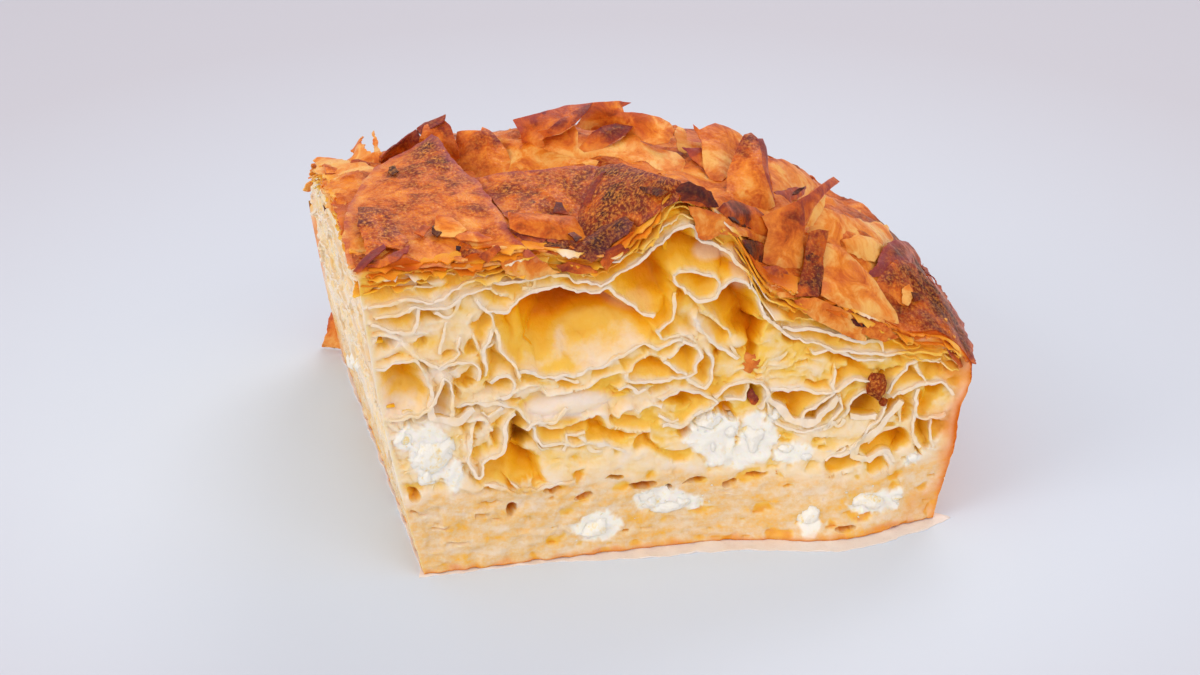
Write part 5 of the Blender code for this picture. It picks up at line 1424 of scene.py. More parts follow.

# Flakes of the crust. Each is an outline of points across and down the picture (of 1200 x 675)
# and their height above the crust in mm, then the bulge of its middle, the bake of its low and
# its high part from 0 pale to 1 burnt, its share of painted glints and gloss, its purple rim, and how ragged
# its edge is.
flakes = [
    # the large sheet at the front left
    ([(346, 264, 0.4), (342, 240, 0.8), (345, 215, 1.4), (352, 200, 1.9), (362, 184, 2.4), (374, 169, 2.9),
      (390, 159, 3.6), (412, 148, 4.6), (432, 134, 6.4), (439, 139, 6.2), (447, 152, 5.2), (457, 165, 4.2),
      (470, 177, 3.2), (482, 186, 2.6), (492, 199, 2.2), (501, 213, 1.8), (507, 228, 1.3), (515, 240, 0.9),
      (528, 249, 0.6), (544, 263, 0.4), (516, 262, 0.5), (492, 264, 0.6), (466, 268, 0.4), (436, 265, 0.6),
      (408, 268, 0.5), (378, 266, 0.6), (356, 272, 0.2)], 0.8, 0.14, 0.64, 1.0, 1.0, 0.25),
    ([(358, 207, 3.2), (380, 208, 3.3), (390, 209, 3.2), (394, 222, 3.0), (401, 233, 2.7), (409, 241, 2.5),
      (402, 251, 2.2), (384, 246, 2.3), (365, 256, 2.0), (362, 237, 2.4), (357, 226, 2.7)],
     0.2, 0.58, 0.62, 1.0, 0.2, 0.3),
    ([(353, 271, 1.2), (360, 272, 1.3), (373, 259, 2.3), (386, 248, 3.0), (384, 244, 3.1), (370, 252, 2.4),
      (360, 262, 1.7)], 0.0, 0.66, 0.66, 0.1, 0.8, 0.1),
    ([(361, 266, 1.2), (374, 262, 1.6), (392, 254, 2.2), (410, 245, 2.6), (398, 260, 1.8), (380, 268, 1.1)],
     0.2, 0.52, 0.50, 0.3, 0.6, 0.5),
    ([(432, 226, 2.4), (437, 224, 2.4), (442, 233, 2.3), (437, 237, 2.1), (432, 233, 2.2)],
     0.1, 0.95, 0.95, 0.2, 0.0, 0.3),
    ([(456, 246, 1.9), (461, 247, 1.9), (460, 251, 1.7), (456, 250, 1.7)], 0.1, 0.85, 0.85, 0.0, 0.0, 0.3),
    ([(389, 168, 4.0), (395, 166, 4.1), (399, 172, 3.9), (393, 176, 3.7), (388, 173, 3.7)],
     0.1, 0.86, 0.86, 0.6, 0.0, 0.3),
    ([(414, 233, 2.2), (423, 225, 2.5), (432, 227, 2.4), (424, 237, 2.1)], 0.2, 0.50, 0.52, 0.2, 0.2, 0.5),
    ([(437, 214, 2.8), (452, 218, 2.7), (467, 230, 2.3), (458, 237, 2.0), (440, 236, 2.1), (434, 228, 2.4)],
     0.5, 0.20, 0.26, 0.2, 0.1, 0.3),
    ([(454, 233, 2.0), (478, 232, 2.0), (493, 240, 1.6), (478, 242, 1.5), (460, 241, 1.7)],
     0.3, 0.40, 0.46, 0.3, 0.6, 0.4),
    ([(478, 256, 1.3), (498, 245, 1.6), (501, 249, 1.4), (488, 263, 0.9)], 0.3, 0.46, 0.50, 0.2, 0.2, 0.4),
    ([(500, 262, 0.8), (520, 256, 1.0), (545, 262, 0.7), (560, 272, 0.2), (530, 280, -0.4), (505, 274, 0.0)],
     0.4, 0.14, 0.24, 0.2, 0.1, 0.6),
    # standing sheets behind it
    ([(380, 163, 0.5), (381, 158, 3.6), (392, 147, 4.6), (404, 138, 5.6), (415, 129, 6.6), (424, 122, 7.4),
      (436, 118, 8.0), (446, 115, 8.6), (443, 122, 7.6), (430, 128, 6.8), (422, 140, 4.8), (410, 160, 1.0)],
     0.4, 0.52, 0.66, 0.4, 0.5, 0.2),
    ([(420, 160, 0.5), (420, 138, 5.6), (424, 126, 7.0), (436, 121, 7.4), (445, 121, 7.6), (451, 127, 6.8),
      (454, 139, 5.2), (458, 150, 3.6), (462, 166, 0.5), (440, 170, 0.0)], 0.7, 0.30, 0.40, 0.4, 0.2, 0.2),
    ([(455, 168, 0.5), (456, 146, 3.6), (457, 132, 5.8), (470, 131, 6.0), (481, 131, 6.0), (482, 127, 6.4),
      (488, 130, 6.0), (496, 137, 5.0), (506, 150, 3.2), (514, 166, 1.0), (510, 180, -0.5), (480, 182, -0.5)],
     0.8, 0.34, 0.46, 0.7, 0.3, 0.25),
    ([(497, 139, 4.0), (520, 140, 4.0), (541, 138, 4.2), (548, 150, 2.8), (575, 158, 2.0), (600, 162, 1.6),
      (604, 176, -0.3), (550, 182, -0.5), (505, 182, -0.5), (503, 158, 1.6)], 0.8, 0.20, 0.28, 0.3, 0.1, 0.2),
    # pale crust and tufts at the back left
    ([(310, 160, 0.6), (320, 157, 1.0), (335, 159, 1.2), (350, 162, 1.2), (366, 162, 1.5), (374, 170, 1.2),
      (362, 184, 0.9), (352, 198, 0.8), (345, 212, 0.4), (334, 197, 0.3), (322, 190, 0.2), (311, 186, 0.0),
      (308, 175, 0.2)], 0.5, 0.12, 0.20, 0.2, 0.1, 0.6),
    ([(349, 166, 0.2), (350, 150, 2.4), (355, 147, 2.8), (362, 136, 4.2), (364, 149, 2.8), (372, 154, 2.2),
      (383, 153, 2.6), (380, 168, 0.2)], 0.3, 0.18, 0.24, 0.1, 0.1, 0.9),
    ([(346, 168, 0.6), (352, 160, 1.8), (362, 161, 1.8), (370, 164, 1.4), (364, 170, 0.8), (352, 172, 0.4)],
     0.3, 0.46, 0.52, 0.2, 0.3, 0.6),
    ([(374, 156, 1.6), (372, 134, 4.4), (374, 131, 4.7), (377, 140, 3.7), (382, 154, 1.8)],
     0.1, 0.10, 0.14, 0.0, 0.0, 0.3),
    ([(310, 196, -1.0), (312, 184, 0.2), (326, 190, 0.4), (336, 198, 0.4), (332, 214, -1.4),
      (318, 206, -1.6)],
     0.3, 0.06, 0.14, 0.1, 0.0, 0.8),
    # the dark plates in the middle
    ([(470, 178, 2.6), (492, 175, 3.2), (514, 172, 3.6), (540, 170, 3.9), (566, 167, 4.2), (590, 166, 4.2),
      (600, 168, 4.0), (592, 190, 2.8), (582, 206, 2.0), (578, 224, 1.2), (560, 226, 0.8), (520, 224, 0.7),
      (504, 216, 0.9), (492, 198, 1.4), (480, 186, 2.0)], 0.6, 0.56, 0.54, 1.0, 0.7, 0.12),
    ([(592, 170, 3.8), (606, 166, 4.2), (620, 164, 4.6), (645, 166, 5.0), (680, 168, 5.2), (684, 180, 4.4),
      (678, 196, 3.2), (664, 206, 2.4), (650, 218, 1.6), (634, 230, 1.0), (616, 240, 0.6), (598, 250, 0.2),
      (582, 252, 0.0), (578, 232, 0.8), (580, 208, 2.0), (586, 188, 2.8)], 0.7, 0.64, 0.68, 0.9, 0.5, 0.12),
    ([(553, 214, 2.4), (556, 202, 2.9), (562, 203, 2.9), (568, 214, 2.4)], 0.1, 0.70, 0.72, 0.1, 0.2, 0.3),
    ([(583, 204, 3.0), (590, 186, 3.8), (602, 172, 4.6), (606, 172, 4.7), (596, 192, 3.6), (588, 208, 2.8)],
     0.5, 0.70, 0.72, 0.2, 0.5, 0.2),
    ([(640, 184, 4.6), (655, 180, 4.9), (668, 183, 4.7), (660, 190, 4.3), (645, 190, 4.3)],
     0.2, 0.90, 0.90, 0.3, 0.0, 0.5),
    # the rolled strip, and the dark folds under it
    ([(508, 212, 3.0), (530, 214, 3.0), (552, 216, 3.0), (574, 217, 2.9), (582, 228, 2.3), (587, 240, 1.4),
      (570, 241, 1.2), (545, 238, 1.3), (520, 234, 1.5), (510, 228, 2.2)], 1.1, 0.34, 0.40, 0.4, 0.05, 0.04),
    ([(568, 234, 2.6), (574, 232, 2.7), (582, 238, 2.4), (576, 242, 2.2)], 0.2, 0.80, 0.80, 0.1, 0.0, 0.3),
    ([(512, 232, 1.2), (545, 238, 1.0), (588, 240, 1.0), (596, 248, 0.2), (580, 254, -0.2), (556, 254, -0.1),
      (532, 248, 0.3)], 0.3, 0.46, 0.52, 0.4, 0.5, 0.2),
    ([(572, 252, 0.6), (586, 238, 1.8), (606, 226, 2.6), (626, 217, 3.0), (634, 222, 2.7), (628, 234, 1.8),
      (612, 244, 1.0), (604, 256, 0.2), (592, 262, -0.3), (580, 258, 0.0)], 0.6, 0.76, 0.84, 0.5, 0.4, 0.3),
    ([(600, 262, 0.2), (606, 250, 1.0), (620, 244, 1.2), (630, 250, 0.7), (622, 256, 0.4), (612, 262, -0.2),
      (606, 270, -1.0)], 0.3, 0.50, 0.58, 0.1, 0.2, 0.3),
    ([(556, 266, 0.4), (572, 262, 0.5), (590, 266, 0.3), (598, 272, -0.4), (580, 274, -0.6),
      (562, 272, -0.2)],
     0.2, 0.50, 0.56, 0.2, 0.2, 0.5),
    # sheets along the top of the back
    ([(513, 120, 8.0), (540, 113, 8.4), (565, 106, 8.8), (592, 103, 9.0), (580, 112, 8.2), (568, 122, 7.2),
      (552, 131, 6.2), (542, 140, 5.0), (548, 156, 1.0), (524, 158, 0.5), (520, 133, 6.0)],
     0.5, 0.18, 0.42, 0.2, 0.7, 0.15),
    ([(537, 131, 6.6), (548, 129, 7.0), (560, 120, 7.8), (576, 110, 8.6), (592, 103, 9.2), (588, 110, 8.4),
      (575, 124, 7.0), (560, 134, 5.8), (545, 137, 5.6)], 0.4, 0.52, 0.62, 0.2, 0.4, 0.1),
    ([(590, 103, 9.0), (606, 102, 9.0), (620, 101, 9.0), (631, 103, 8.6), (622, 107, 8.0), (624, 112, 7.6),
      (642, 114, 7.2), (660, 118, 6.6), (669, 123, 6.0), (675, 131, 5.0), (668, 143, 3.4), (654, 145, 3.0),
      (632, 137, 3.4), (604, 129, 4.2), (592, 130, 4.2), (586, 130, 4.6), (576, 126, 5.6)],
     0.6, 0.26, 0.36, 0.2, 0.5, 0.12),
    ([(578, 150, 2.6), (585, 141, 3.8), (592, 133, 4.8), (603, 127, 5.4), (616, 124, 5.6), (633, 127, 5.2),
      (626, 134, 4.4), (614, 142, 3.4), (602, 149, 2.6), (590, 153, 2.2)], 0.8, 0.52, 0.60, 0.3, 0.5, 0.1),
    ([(542, 138, 4.6), (560, 134, 5.2), (574, 126, 6.2), (578, 132, 5.4), (577, 148, 3.0), (584, 153, 2.4),
      (602, 150, 2.4), (618, 142, 3.0), (634, 128, 4.6), (642, 134, 4.0), (640, 142, 3.0), (656, 148, 2.2),
      (676, 153, 1.6), (690, 163, 0.6), (684, 176, -0.5), (640, 174, -0.5), (600, 172, -0.5),
      (560, 172, -0.3),
      (546, 156, 2.0)], 0.5, 0.18, 0.27, 0.3, 0.1, 0.15),
    ([(674, 134, 4.0), (678, 127, 4.8), (683, 129, 4.6), (686, 140, 3.2), (701, 143, 2.8), (704, 152, 1.6),
      (690, 156, 1.0), (678, 150, 1.8)], 0.4, 0.06, 0.14, 0.1, 0.2, 0.5),
    ([(682, 147, 3.0), (698, 148, 3.2), (715, 150, 3.2), (714, 160, 2.0), (706, 170, 0.8), (696, 162, 1.4),
      (688, 153, 2.2)], 0.4, 0.42, 0.50, 0.2, 0.9, 0.3),
    ([(693, 124, 6.4), (700, 129, 6.0), (708, 126, 6.4), (715, 123, 6.8), (724, 126, 6.4), (736, 132, 5.8),
      (743, 137, 5.2), (740, 152, 3.6), (732, 166, 2.0), (722, 182, 0.4), (710, 180, 0.2), (704, 168, 1.4),
      (702, 150, 3.4), (700, 138, 4.8)], 0.8, 0.22, 0.32, 0.2, 0.3, 0.2),
    ([(726, 196, 0.6), (728, 172, 3.4), (734, 156, 5.6), (739, 144, 7.4), (744, 135, 8.8), (751, 133, 9.2),
      (757, 138, 8.8), (760, 150, 7.6), (762, 166, 5.8), (768, 184, 3.6), (775, 206, 0.8), (762, 214, -0.4),
      (744, 210, -0.3)], 0.9, 0.26, 0.46, 0.8, 0.2, 0.12),
    ([(756, 139, 8.8), (762, 139, 8.6), (766, 147, 7.6), (767, 164, 5.6), (769, 180, 3.8), (775, 200, 1.2),
      (768, 190, 2.6), (761, 168, 5.4), (759, 150, 7.4)], 0.4, 0.52, 0.58, 0.2, 0.7, 0.1),
    ([(767, 158, 4.2), (781, 159, 4.0), (796, 168, 3.0), (810, 179, 2.0), (816, 186, 1.2), (798, 204, -0.5),
      (778, 206, -0.6), (770, 182, 1.6)], 0.6, 0.20, 0.28, 0.2, 0.2, 0.25),
    ([(774, 192, 1.6), (790, 188, 2.0), (806, 186, 2.0), (800, 197, 0.9), (782, 206, 0.0)],
     0.3, 0.50, 0.56, 0.2, 0.9, 0.5),
    # the dark hoods right of the peak, and the folded sheet in front of them
    ([(675, 181, 4.6), (681, 172, 5.4), (689, 169, 5.8), (696, 175, 5.2), (704, 179, 4.8), (711, 187, 4.2),
      (714, 197, 3.4), (719, 207, 2.4), (708, 207, 2.2), (694, 201, 2.6), (680, 197, 3.0), (681, 188, 3.8)],
     0.7, 0.76, 0.74, 0.1, 0.1, 0.25),
    ([(679, 189, 3.6), (691, 192, 3.4), (702, 200, 2.8), (712, 207, 2.2), (698, 206, 2.2), (682, 200, 2.6)],
     0.2, 0.46, 0.46, 0.1, 0.1, 0.3),
    ([(718, 209, 2.4), (723, 203, 3.2), (731, 201, 3.6), (744, 204, 3.4), (756, 208, 3.2), (763, 214, 2.8),
      (769, 222, 2.2), (768, 236, 1.0), (756, 234, 1.0), (742, 228, 1.4), (728, 220, 1.8)],
     0.8, 0.44, 0.68, 0.2, 0.2, 0.2),
    ([(728, 217, 2.6), (737, 213, 3.0), (745, 217, 2.8), (753, 223, 2.4), (750, 229, 2.0), (741, 226, 2.1),
      (733, 221, 2.3)], 0.2, 0.95, 0.95, 0.1, 0.0, 0.3),
    ([(688, 206, 1.8), (700, 208, 2.0), (716, 213, 2.0), (732, 222, 1.6), (748, 229, 1.2), (768, 238, 0.8),
      (770, 244, 0.4), (756, 242, 0.4), (738, 237, 0.5), (720, 234, 0.5), (704, 240, 0.0), (698, 238, 0.0),
      (695, 222, 1.0)], 0.8, 0.20, 0.30, 0.2, 0.2, 0.4),
    ([(742, 240, 1.2), (752, 240, 1.5), (763, 243, 1.5), (766, 252, 0.9), (763, 263, 0.2), (755, 262, 0.1),
      (748, 252, 0.6)], 0.3, 0.82, 0.84, 0.2, 0.0, 0.35),
    # sheets of the right half
    ([(762, 216, 4.0), (776, 210, 4.8), (790, 204, 5.6), (801, 199, 6.2), (804, 212, 5.0), (805, 226, 3.8),
      (802, 240, 2.8), (803, 256, 1.6), (800, 272, 0.4), (784, 268, 0.5), (768, 265, 0.6), (762, 262, 0.6),
      (765, 244, 1.8), (768, 230, 2.8)], 0.6, 0.24, 0.40, 0.3, 0.3, 0.12),
    ([(798, 200, 5.8), (808, 195, 6.2), (822, 184, 7.2), (833, 177, 7.8), (839, 182, 7.2), (831, 188, 6.6),
      (822, 196, 5.8), (814, 206, 4.8), (807, 220, 3.4), (803, 224, 3.2), (802, 210, 4.8)],
     0.5, 0.36, 0.40, 0.2, 0.5, 0.06),
    ([(792, 195, 4.6), (799, 188, 5.2), (805, 187, 5.2), (798, 194, 4.6)], 0.1, 0.86, 0.86, 0.1, 0.0, 0.3),
    ([(804, 228, 2.6), (813, 208, 4.4), (826, 195, 5.4), (824, 206, 4.2), (812, 226, 2.4)],
     0.3, 0.04, 0.08, 0.1, 0.0, 0.2),
    ([(806, 232, 1.6), (812, 224, 2.4), (824, 208, 3.4), (842, 215, 2.6), (864, 222, 1.8), (886, 226, 1.4),
      (892, 240, 0.8), (882, 262, 0.2), (868, 278, -0.4), (858, 268, 0.2), (846, 256, 0.8), (830, 244, 1.2)],
     0.8, 0.08, 0.17, 0.5, 0.15, 0.3),
    ([(842, 240, 1.8), (856, 234, 2.0), (872, 238, 1.6), (884, 246, 1.2), (874, 262, 0.6), (860, 260, 0.8),
      (848, 252, 1.2)], 0.6, 0.02, 0.08, 0.5, 0.0, 0.6),
    ([(809, 232, 4.4), (818, 230, 4.7), (828, 231, 4.7), (826, 243, 3.9), (823, 258, 3.0), (824, 276, 1.9),
      (822, 290, 1.2), (818, 297, 0.8), (808, 296, 0.8), (795, 297, 0.6), (800, 280, 1.5), (804, 262, 2.5),
      (806, 246, 3.5)], 0.3, 0.66, 0.60, 0.5, 0.1, 0.08),
    ([(806, 256, 3.2), (814, 252, 3.5), (820, 257, 3.2), (815, 263, 2.9), (808, 262, 2.9)],
     0.1, 0.84, 0.84, 0.4, 0.0, 0.5),
    ([(824, 242, 2.6), (838, 247, 2.6), (851, 257, 2.2), (863, 268, 1.8), (873, 279, 1.5), (881, 291, 1.2),
      (890, 305, 0.9), (899, 319, 0.6), (905, 333, 0.2), (893, 329, 0.3), (876, 319, 0.5), (858, 311, 0.7),
      (840, 306, 0.8), (828, 300, 0.9), (820, 296, 1.0), (823, 270, 1.8)], 0.8, 0.13, 0.24, 0.1, 0.25, 0.06),
    ([(762, 266, 0.6), (780, 266, 0.8), (801, 272, 0.6), (799, 286, 0.0), (794, 298, -0.6), (781, 297, -0.8),
      (770, 285, -0.4)], 0.4, 0.24, 0.42, 0.5, 0.5, 0.4),
    ([(794, 300, 0.2), (815, 297, 0.8), (832, 305, 0.8), (851, 314, 0.6), (862, 328, 0.2), (866, 341, -0.4),
      (850, 337, -0.4), (830, 327, -0.3), (812, 318, -0.3)], 0.4, 0.10, 0.20, 0.3, 0.1, 0.4),
    ([(845, 311, 1.0), (856, 305, 1.4), (870, 308, 1.4), (882, 317, 1.1), (891, 327, 0.8), (898, 338, 0.3),
      (884, 342, -0.1), (870, 338, 0.0), (858, 330, 0.3), (850, 321, 0.6)], 0.5, 0.42, 0.52, 0.9, 0.1, 0.5),
    ([(850, 318, 1.2), (856, 320, 1.2), (864, 330, 0.8), (862, 335, 0.5), (853, 325, 0.9)],
     0.1, 0.94, 0.94, 0.0, 0.0, 0.4),
    ([(863, 324, 1.1), (869, 326, 1.1), (868, 331, 0.8), (862, 329, 0.8)], 0.1, 0.88, 0.88, 0.0, 0.0, 0.4),
    # the shoulder
    ([(866, 278, 0.4), (878, 262, 1.2), (885, 246, 2.0), (898, 240, 2.2), (913, 242, 2.0), (923, 250, 1.4),
      (929, 262, 0.8), (918, 266, 0.8), (905, 262, 1.0), (892, 262, 1.2), (880, 276, 0.6)],
     0.7, 0.46, 0.60, 0.4, 0.8, 0.3),
    ([(876, 284, 0.3), (886, 268, 1.2), (896, 260, 1.6), (908, 263, 1.5), (918, 271, 1.2), (928, 283, 0.8),
      (933, 298, 0.4), (928, 314, -0.2), (912, 320, -0.3), (899, 314, 0.0), (888, 300, 0.2)],
     0.9, 0.40, 0.54, 0.8, 0.3, 0.3),
    ([(902, 289, 2.0), (909, 284, 2.2), (914, 295, 1.6), (908, 306, 1.1), (902, 303, 1.2)],
     0.3, 0.10, 0.14, 0.2, 0.1, 0.4),
    ([(911, 292, 2.0), (918, 293, 1.8), (920, 300, 1.4), (914, 302, 1.4)], 0.1, 0.82, 0.82, 0.2, 0.0, 0.5),
    ([(918, 248, 0.8), (932, 262, 0.4), (942, 276, 0.2), (950, 290, 0.0), (955, 306, -0.2), (960, 324, -0.6),
      (950, 322, 0.1), (943, 306, 0.7), (936, 290, 1.0), (926, 274, 1.2)], 0.5, 0.46, 0.56, 0.7, 0.8, 0.25),
    ([(942, 294, 1.0), (948, 294, 0.8), (952, 302, 0.3), (946, 304, 0.5)], 0.1, 0.84, 0.84, 0.2, 0.0, 0.5),
    ([(938, 318, 0.4), (946, 322, 0.4), (948, 336, -0.4), (941, 336, -0.4)], 0.1, 0.88, 0.88, 0.0, 0.0, 0.3),
    ([(902, 322, 0.4), (914, 318, 0.6), (924, 326, 0.3), (918, 342, -0.7), (906, 340, -0.6)],
     0.3, 0.14, 0.26, 0.2, 0.1, 0.9),
    ([(922, 316, 0.6), (932, 314, 0.5), (938, 328, 0.0), (932, 344, -0.9), (922, 336, -0.6)],
     0.3, 0.20, 0.30, 0.2, 0.1, 0.9),
    ([(944, 336, -0.2), (952, 334, -0.4), (960, 350, -1.2), (970, 366, -2.2), (960, 368, -2.2),
      (948, 352, -1.2)],
     0.4, 0.52, 0.60, 0.4, 0.6, 0.4),
    ([(934, 262, 1.2), (944, 268, 1.0), (952, 288, 0.8), (958, 306, 0.6), (951, 309, 0.5), (944, 292, 0.8),
      (937, 276, 1.0)], 0.2, 0.62, 0.72, 0.4, 0.6, 0.5),
    ([(949, 300, 0.8), (958, 304, 0.6), (964, 326, 0.4), (973, 350, 0.2), (976, 364, -0.4), (966, 362, -0.3),
      (955, 340, 0.2), (950, 320, 0.6)], 0.3, 0.56, 0.68, 0.5, 0.8, 0.5),
]
# Flakes against the left side and on the front: points across and down the picture and mm along
# the slice; then the same values as for the other flakes
sideFlakes = [
    ([(334, 304, 84), (337, 320, 84), (340, 336, 84), (346, 350, 84), (333, 351, 85), (322, 346, 86),
      (326, 334, 86), (329, 318, 86)], 0.2, 0.22, 0.36, 0.3, 0.4, 0.6),
    ([(323, 205, 62), (328, 212, 62), (331, 224, 62), (330, 236, 62), (328, 236, 62.2), (328.6, 224, 62.2),
      (325, 214, 62.2)], 0.0, 0.92, 0.95, 0.1, 0.2, 0.3),
    ([(330, 238, 60), (335, 226, 60), (337, 220, 60), (336, 232, 60.4), (332, 243, 60.4)],
     0.1, 0.36, 0.42, 0.1, 0.2, 0.5),
    ([(738, 356, 1.6), (745, 352, 1.8), (752, 355, 1.4), (761, 352, 1.8), (763, 361, 1.4), (757, 369, 1.0),
      (750, 373, 0.8), (742, 367, 1.0)], 0.8, 0.18, 0.30, 0.5, 0.3, 0.9),
    ([(748, 392, 1.4), (752, 388, 1.6), (758, 398, 1.2), (766, 411, 0.8), (757, 410, 1.0), (750, 402, 1.2)],
     0.3, 0.42, 0.56, 0.3, 0.3, 0.6),
    ([(772, 471, -0.2), (777, 469, -0.2), (783, 473, -0.1), (781, 482, -0.3), (776, 484, -0.3),
      (771, 478, -0.3)], 0.5, 0.12, 0.20, 0.4, 0.0, 0.9),
    ([(840, 437, 0.6), (847, 435, 0.6), (850, 440, 0.4), (844, 444, 0.4)], 0.3, 0.16, 0.22, 0.4, 0.0, 0.8),
    ([(546, 356, 3.4), (552, 360, 3.2), (550, 369, 2.8), (544, 366, 3.0)], 0.3, 0.10, 0.14, 0.3, 0.0, 0.8),
]
flakeMesh = {
    "grid": 0.62,
    "tears": 5,                # times that each side of an outline is halved
    "thickness": 0.24,
    "ripple": 0.34,
    "rippleSize": 4.0,
    "fullHeight": 64.0,        # of what rises above it, this share is pressed down
    "press": 0.35,
    "lowest": 0.3,
    "paler": (0.1, 0.10),      # from this bake on, the pale end of a flake is so much paler
    "darker": (0.3, 0.05),     # and from this one on, its dark end so much darker
    "drift": (5.0, 0.12),      # size and strength of its patches
    "rim": (1.9, 1.25),        # width and strength of its torn edge
    "seed": 8,
}
farFlakes = {"spacing": 9.5, "start": 60.0, "leftmost": 14.0, "size": (5, 9), "lift": (0.6, 1.8), "seed": 5}
scraps = {"count": 190, "size": (0.35, 1.3), "deepest": 3.0, "bake": (0.10, 0.37), "seed": 12}


def onCrust(points):
    # points across and down the picture and mm above the crust, as places on the slice
    points = np.array(points, float)

    def heightAbove(along):
        above = along[..., 2] - skinHeight(along[..., 0], along[..., 1]) - points[:, 2:3]
        return np.where(along[..., 1] > pie["backEdge"], 1e3, above)

    found, rays = castRays(points, heightAbove)
    # what would reach past the cut hangs down in front of it
    past = np.maximum(-0.7 - found[:, 1:2], 0)
    found = found + rays * past / rays[:, 1:2]
    found[:, 0] = np.clip(found[:, 0], leftCut(found[:, 1], found[:, 2]) - 0.9, rightEdge(found[:, 1]) + 1.2)
    return found


def onPlane(points):
    # places in the picture, followed to a given distance along the slice
    points = np.array(points, float)
    return castRays(points, lambda along: points[:, 2:3] - along[..., 1])[0]


def scrapList():
    # small torn bits of crust along its two cut edges
    chance = random.Random(scraps["seed"])
    found = []
    for k in range(scraps["count"]):
        size = chance.uniform(*scraps["size"])
        inward = scraps["deepest"] * chance.random() ** 1.5
        if k % 3:
            cx, cy = chance.uniform(-8, 91), inward - 0.2
        else:
            cy = chance.uniform(1, 84)
            cx = float(leftCut(cy, float(skinHeight(0.0, cy)))) + inward
        turn, long, height = chance.uniform(0, 3.1), chance.uniform(0.4, 1.0), chance.uniform(0.1, 0.5)
        tiltX, tiltY = chance.gauss(0, 0.25), chance.gauss(0, 0.25)
        sides, outline = chance.randint(4, 6), []
        for side in range(sides):
            angle = 2 * math.pi * (side + chance.uniform(-0.3, 0.3)) / sides
            px, py = size * math.cos(angle), size * long * math.sin(angle)
            dx = px * math.cos(turn) - py * math.sin(turn)
            dy = px * math.sin(turn) + py * math.cos(turn)
            fx, fy = cx + dx, max(cy + dy, -0.9)
            outline.append((fx, fy, float(skinHeight(fx, fy)) + height + tiltX * dx + tiltY * dy))
        bake = chance.uniform(*scraps["bake"]) ** 1.3
        found.append((outline, 0.2, bake, bake + 0.08, 0.3, 0.2, 0.6))
    return found


def farFlakeList():
    # flakes of the crust behind what the picture shows, in rows
    chance = random.Random(farFlakes["seed"])
    found = []
    y = farFlakes["start"]
    while y < pie["backEdge"] - 4:
        x = farFlakes["leftmost"]
        while x < float(rightEdge(y)) - 8:
            cx, cy = x + chance.uniform(-4, 4), y + chance.uniform(-4, 4)
            turn, sides = chance.uniform(-1.2, 1.2), chance.randint(5, 7)
            long, wide = chance.uniform(*farFlakes["size"]), chance.uniform(*farFlakes["size"])
            lift, outline = chance.uniform(*farFlakes["lift"]), []
            facing = chance.choice((-0.5, 0.5))
            for k in range(sides):
                angle = 2 * math.pi * (k + chance.uniform(-0.25, 0.25)) / sides
                px, py = wide * math.cos(angle), long * math.sin(angle)
                fx = cx + px * math.cos(turn) - py * math.sin(turn)
                fy = min(cy + px * math.sin(turn) + py * math.cos(turn), float(backEdge(fx)) - 3.0)
                fx = max(min(fx, float(rightEdge(fy)) - 3.0), float(leftCut(fy, 35)) + 1.5)
                height = -0.8 + (lift + 0.8) * (0.5 + facing * math.sin(angle)) ** 1.5
                outline.append((fx, fy, float(skinHeight(fx, fy)) + height))
            low = chance.uniform(0.12, 0.36)
            found.append((outline, chance.uniform(0.3, 0.9), low, low + chance.uniform(0.05, 0.24),
                          chance.uniform(0.2, 0.9), chance.uniform(0, 0.8), 0.45))
            x += farFlakes["spacing"]
        y += farFlakes["spacing"] * 0.8
    return found


def tornOutline(corners, ragged, chance):
    # halves each side several times, each time moving the middle a little: a torn edge
    line = [np.array(corner, float) for corner in corners]
    for _ in range(flakeMesh["tears"]):
        longer = []
        for k, a in enumerate(line):
            b = line[(k + 1) % len(line)]
            length = np.linalg.norm(b - a)
            longer.append(a)
            if length > 0.6:
                shift = np.array([chance.gauss(0, 1), chance.gauss(0, 1), 0.2 * chance.gauss(0, 1)])
                share = chance.uniform(0.35, 0.65)
                longer.append(a + (b - a) * share + shift * ragged * 0.15 * min(length, 4))
        line = longer
    return np.array(line)


def insidePolygon(points, outline):
    x, y = points[:, 0], points[:, 1]
    within = np.zeros(len(points), bool)
    for (xa, ya), (xb, yb) in zip(outline, np.roll(outline, -1, 0)):
        crosses = (ya > y) != (yb > y)
        step = (xb - xa) * (y - ya) / (yb - ya if yb != ya else 1e-9) + xa
        within ^= crosses & (x < step)
    return within


def gapsTo(points, outline):
    return np.linalg.norm(points[:, None] - outline[None], axis=2)


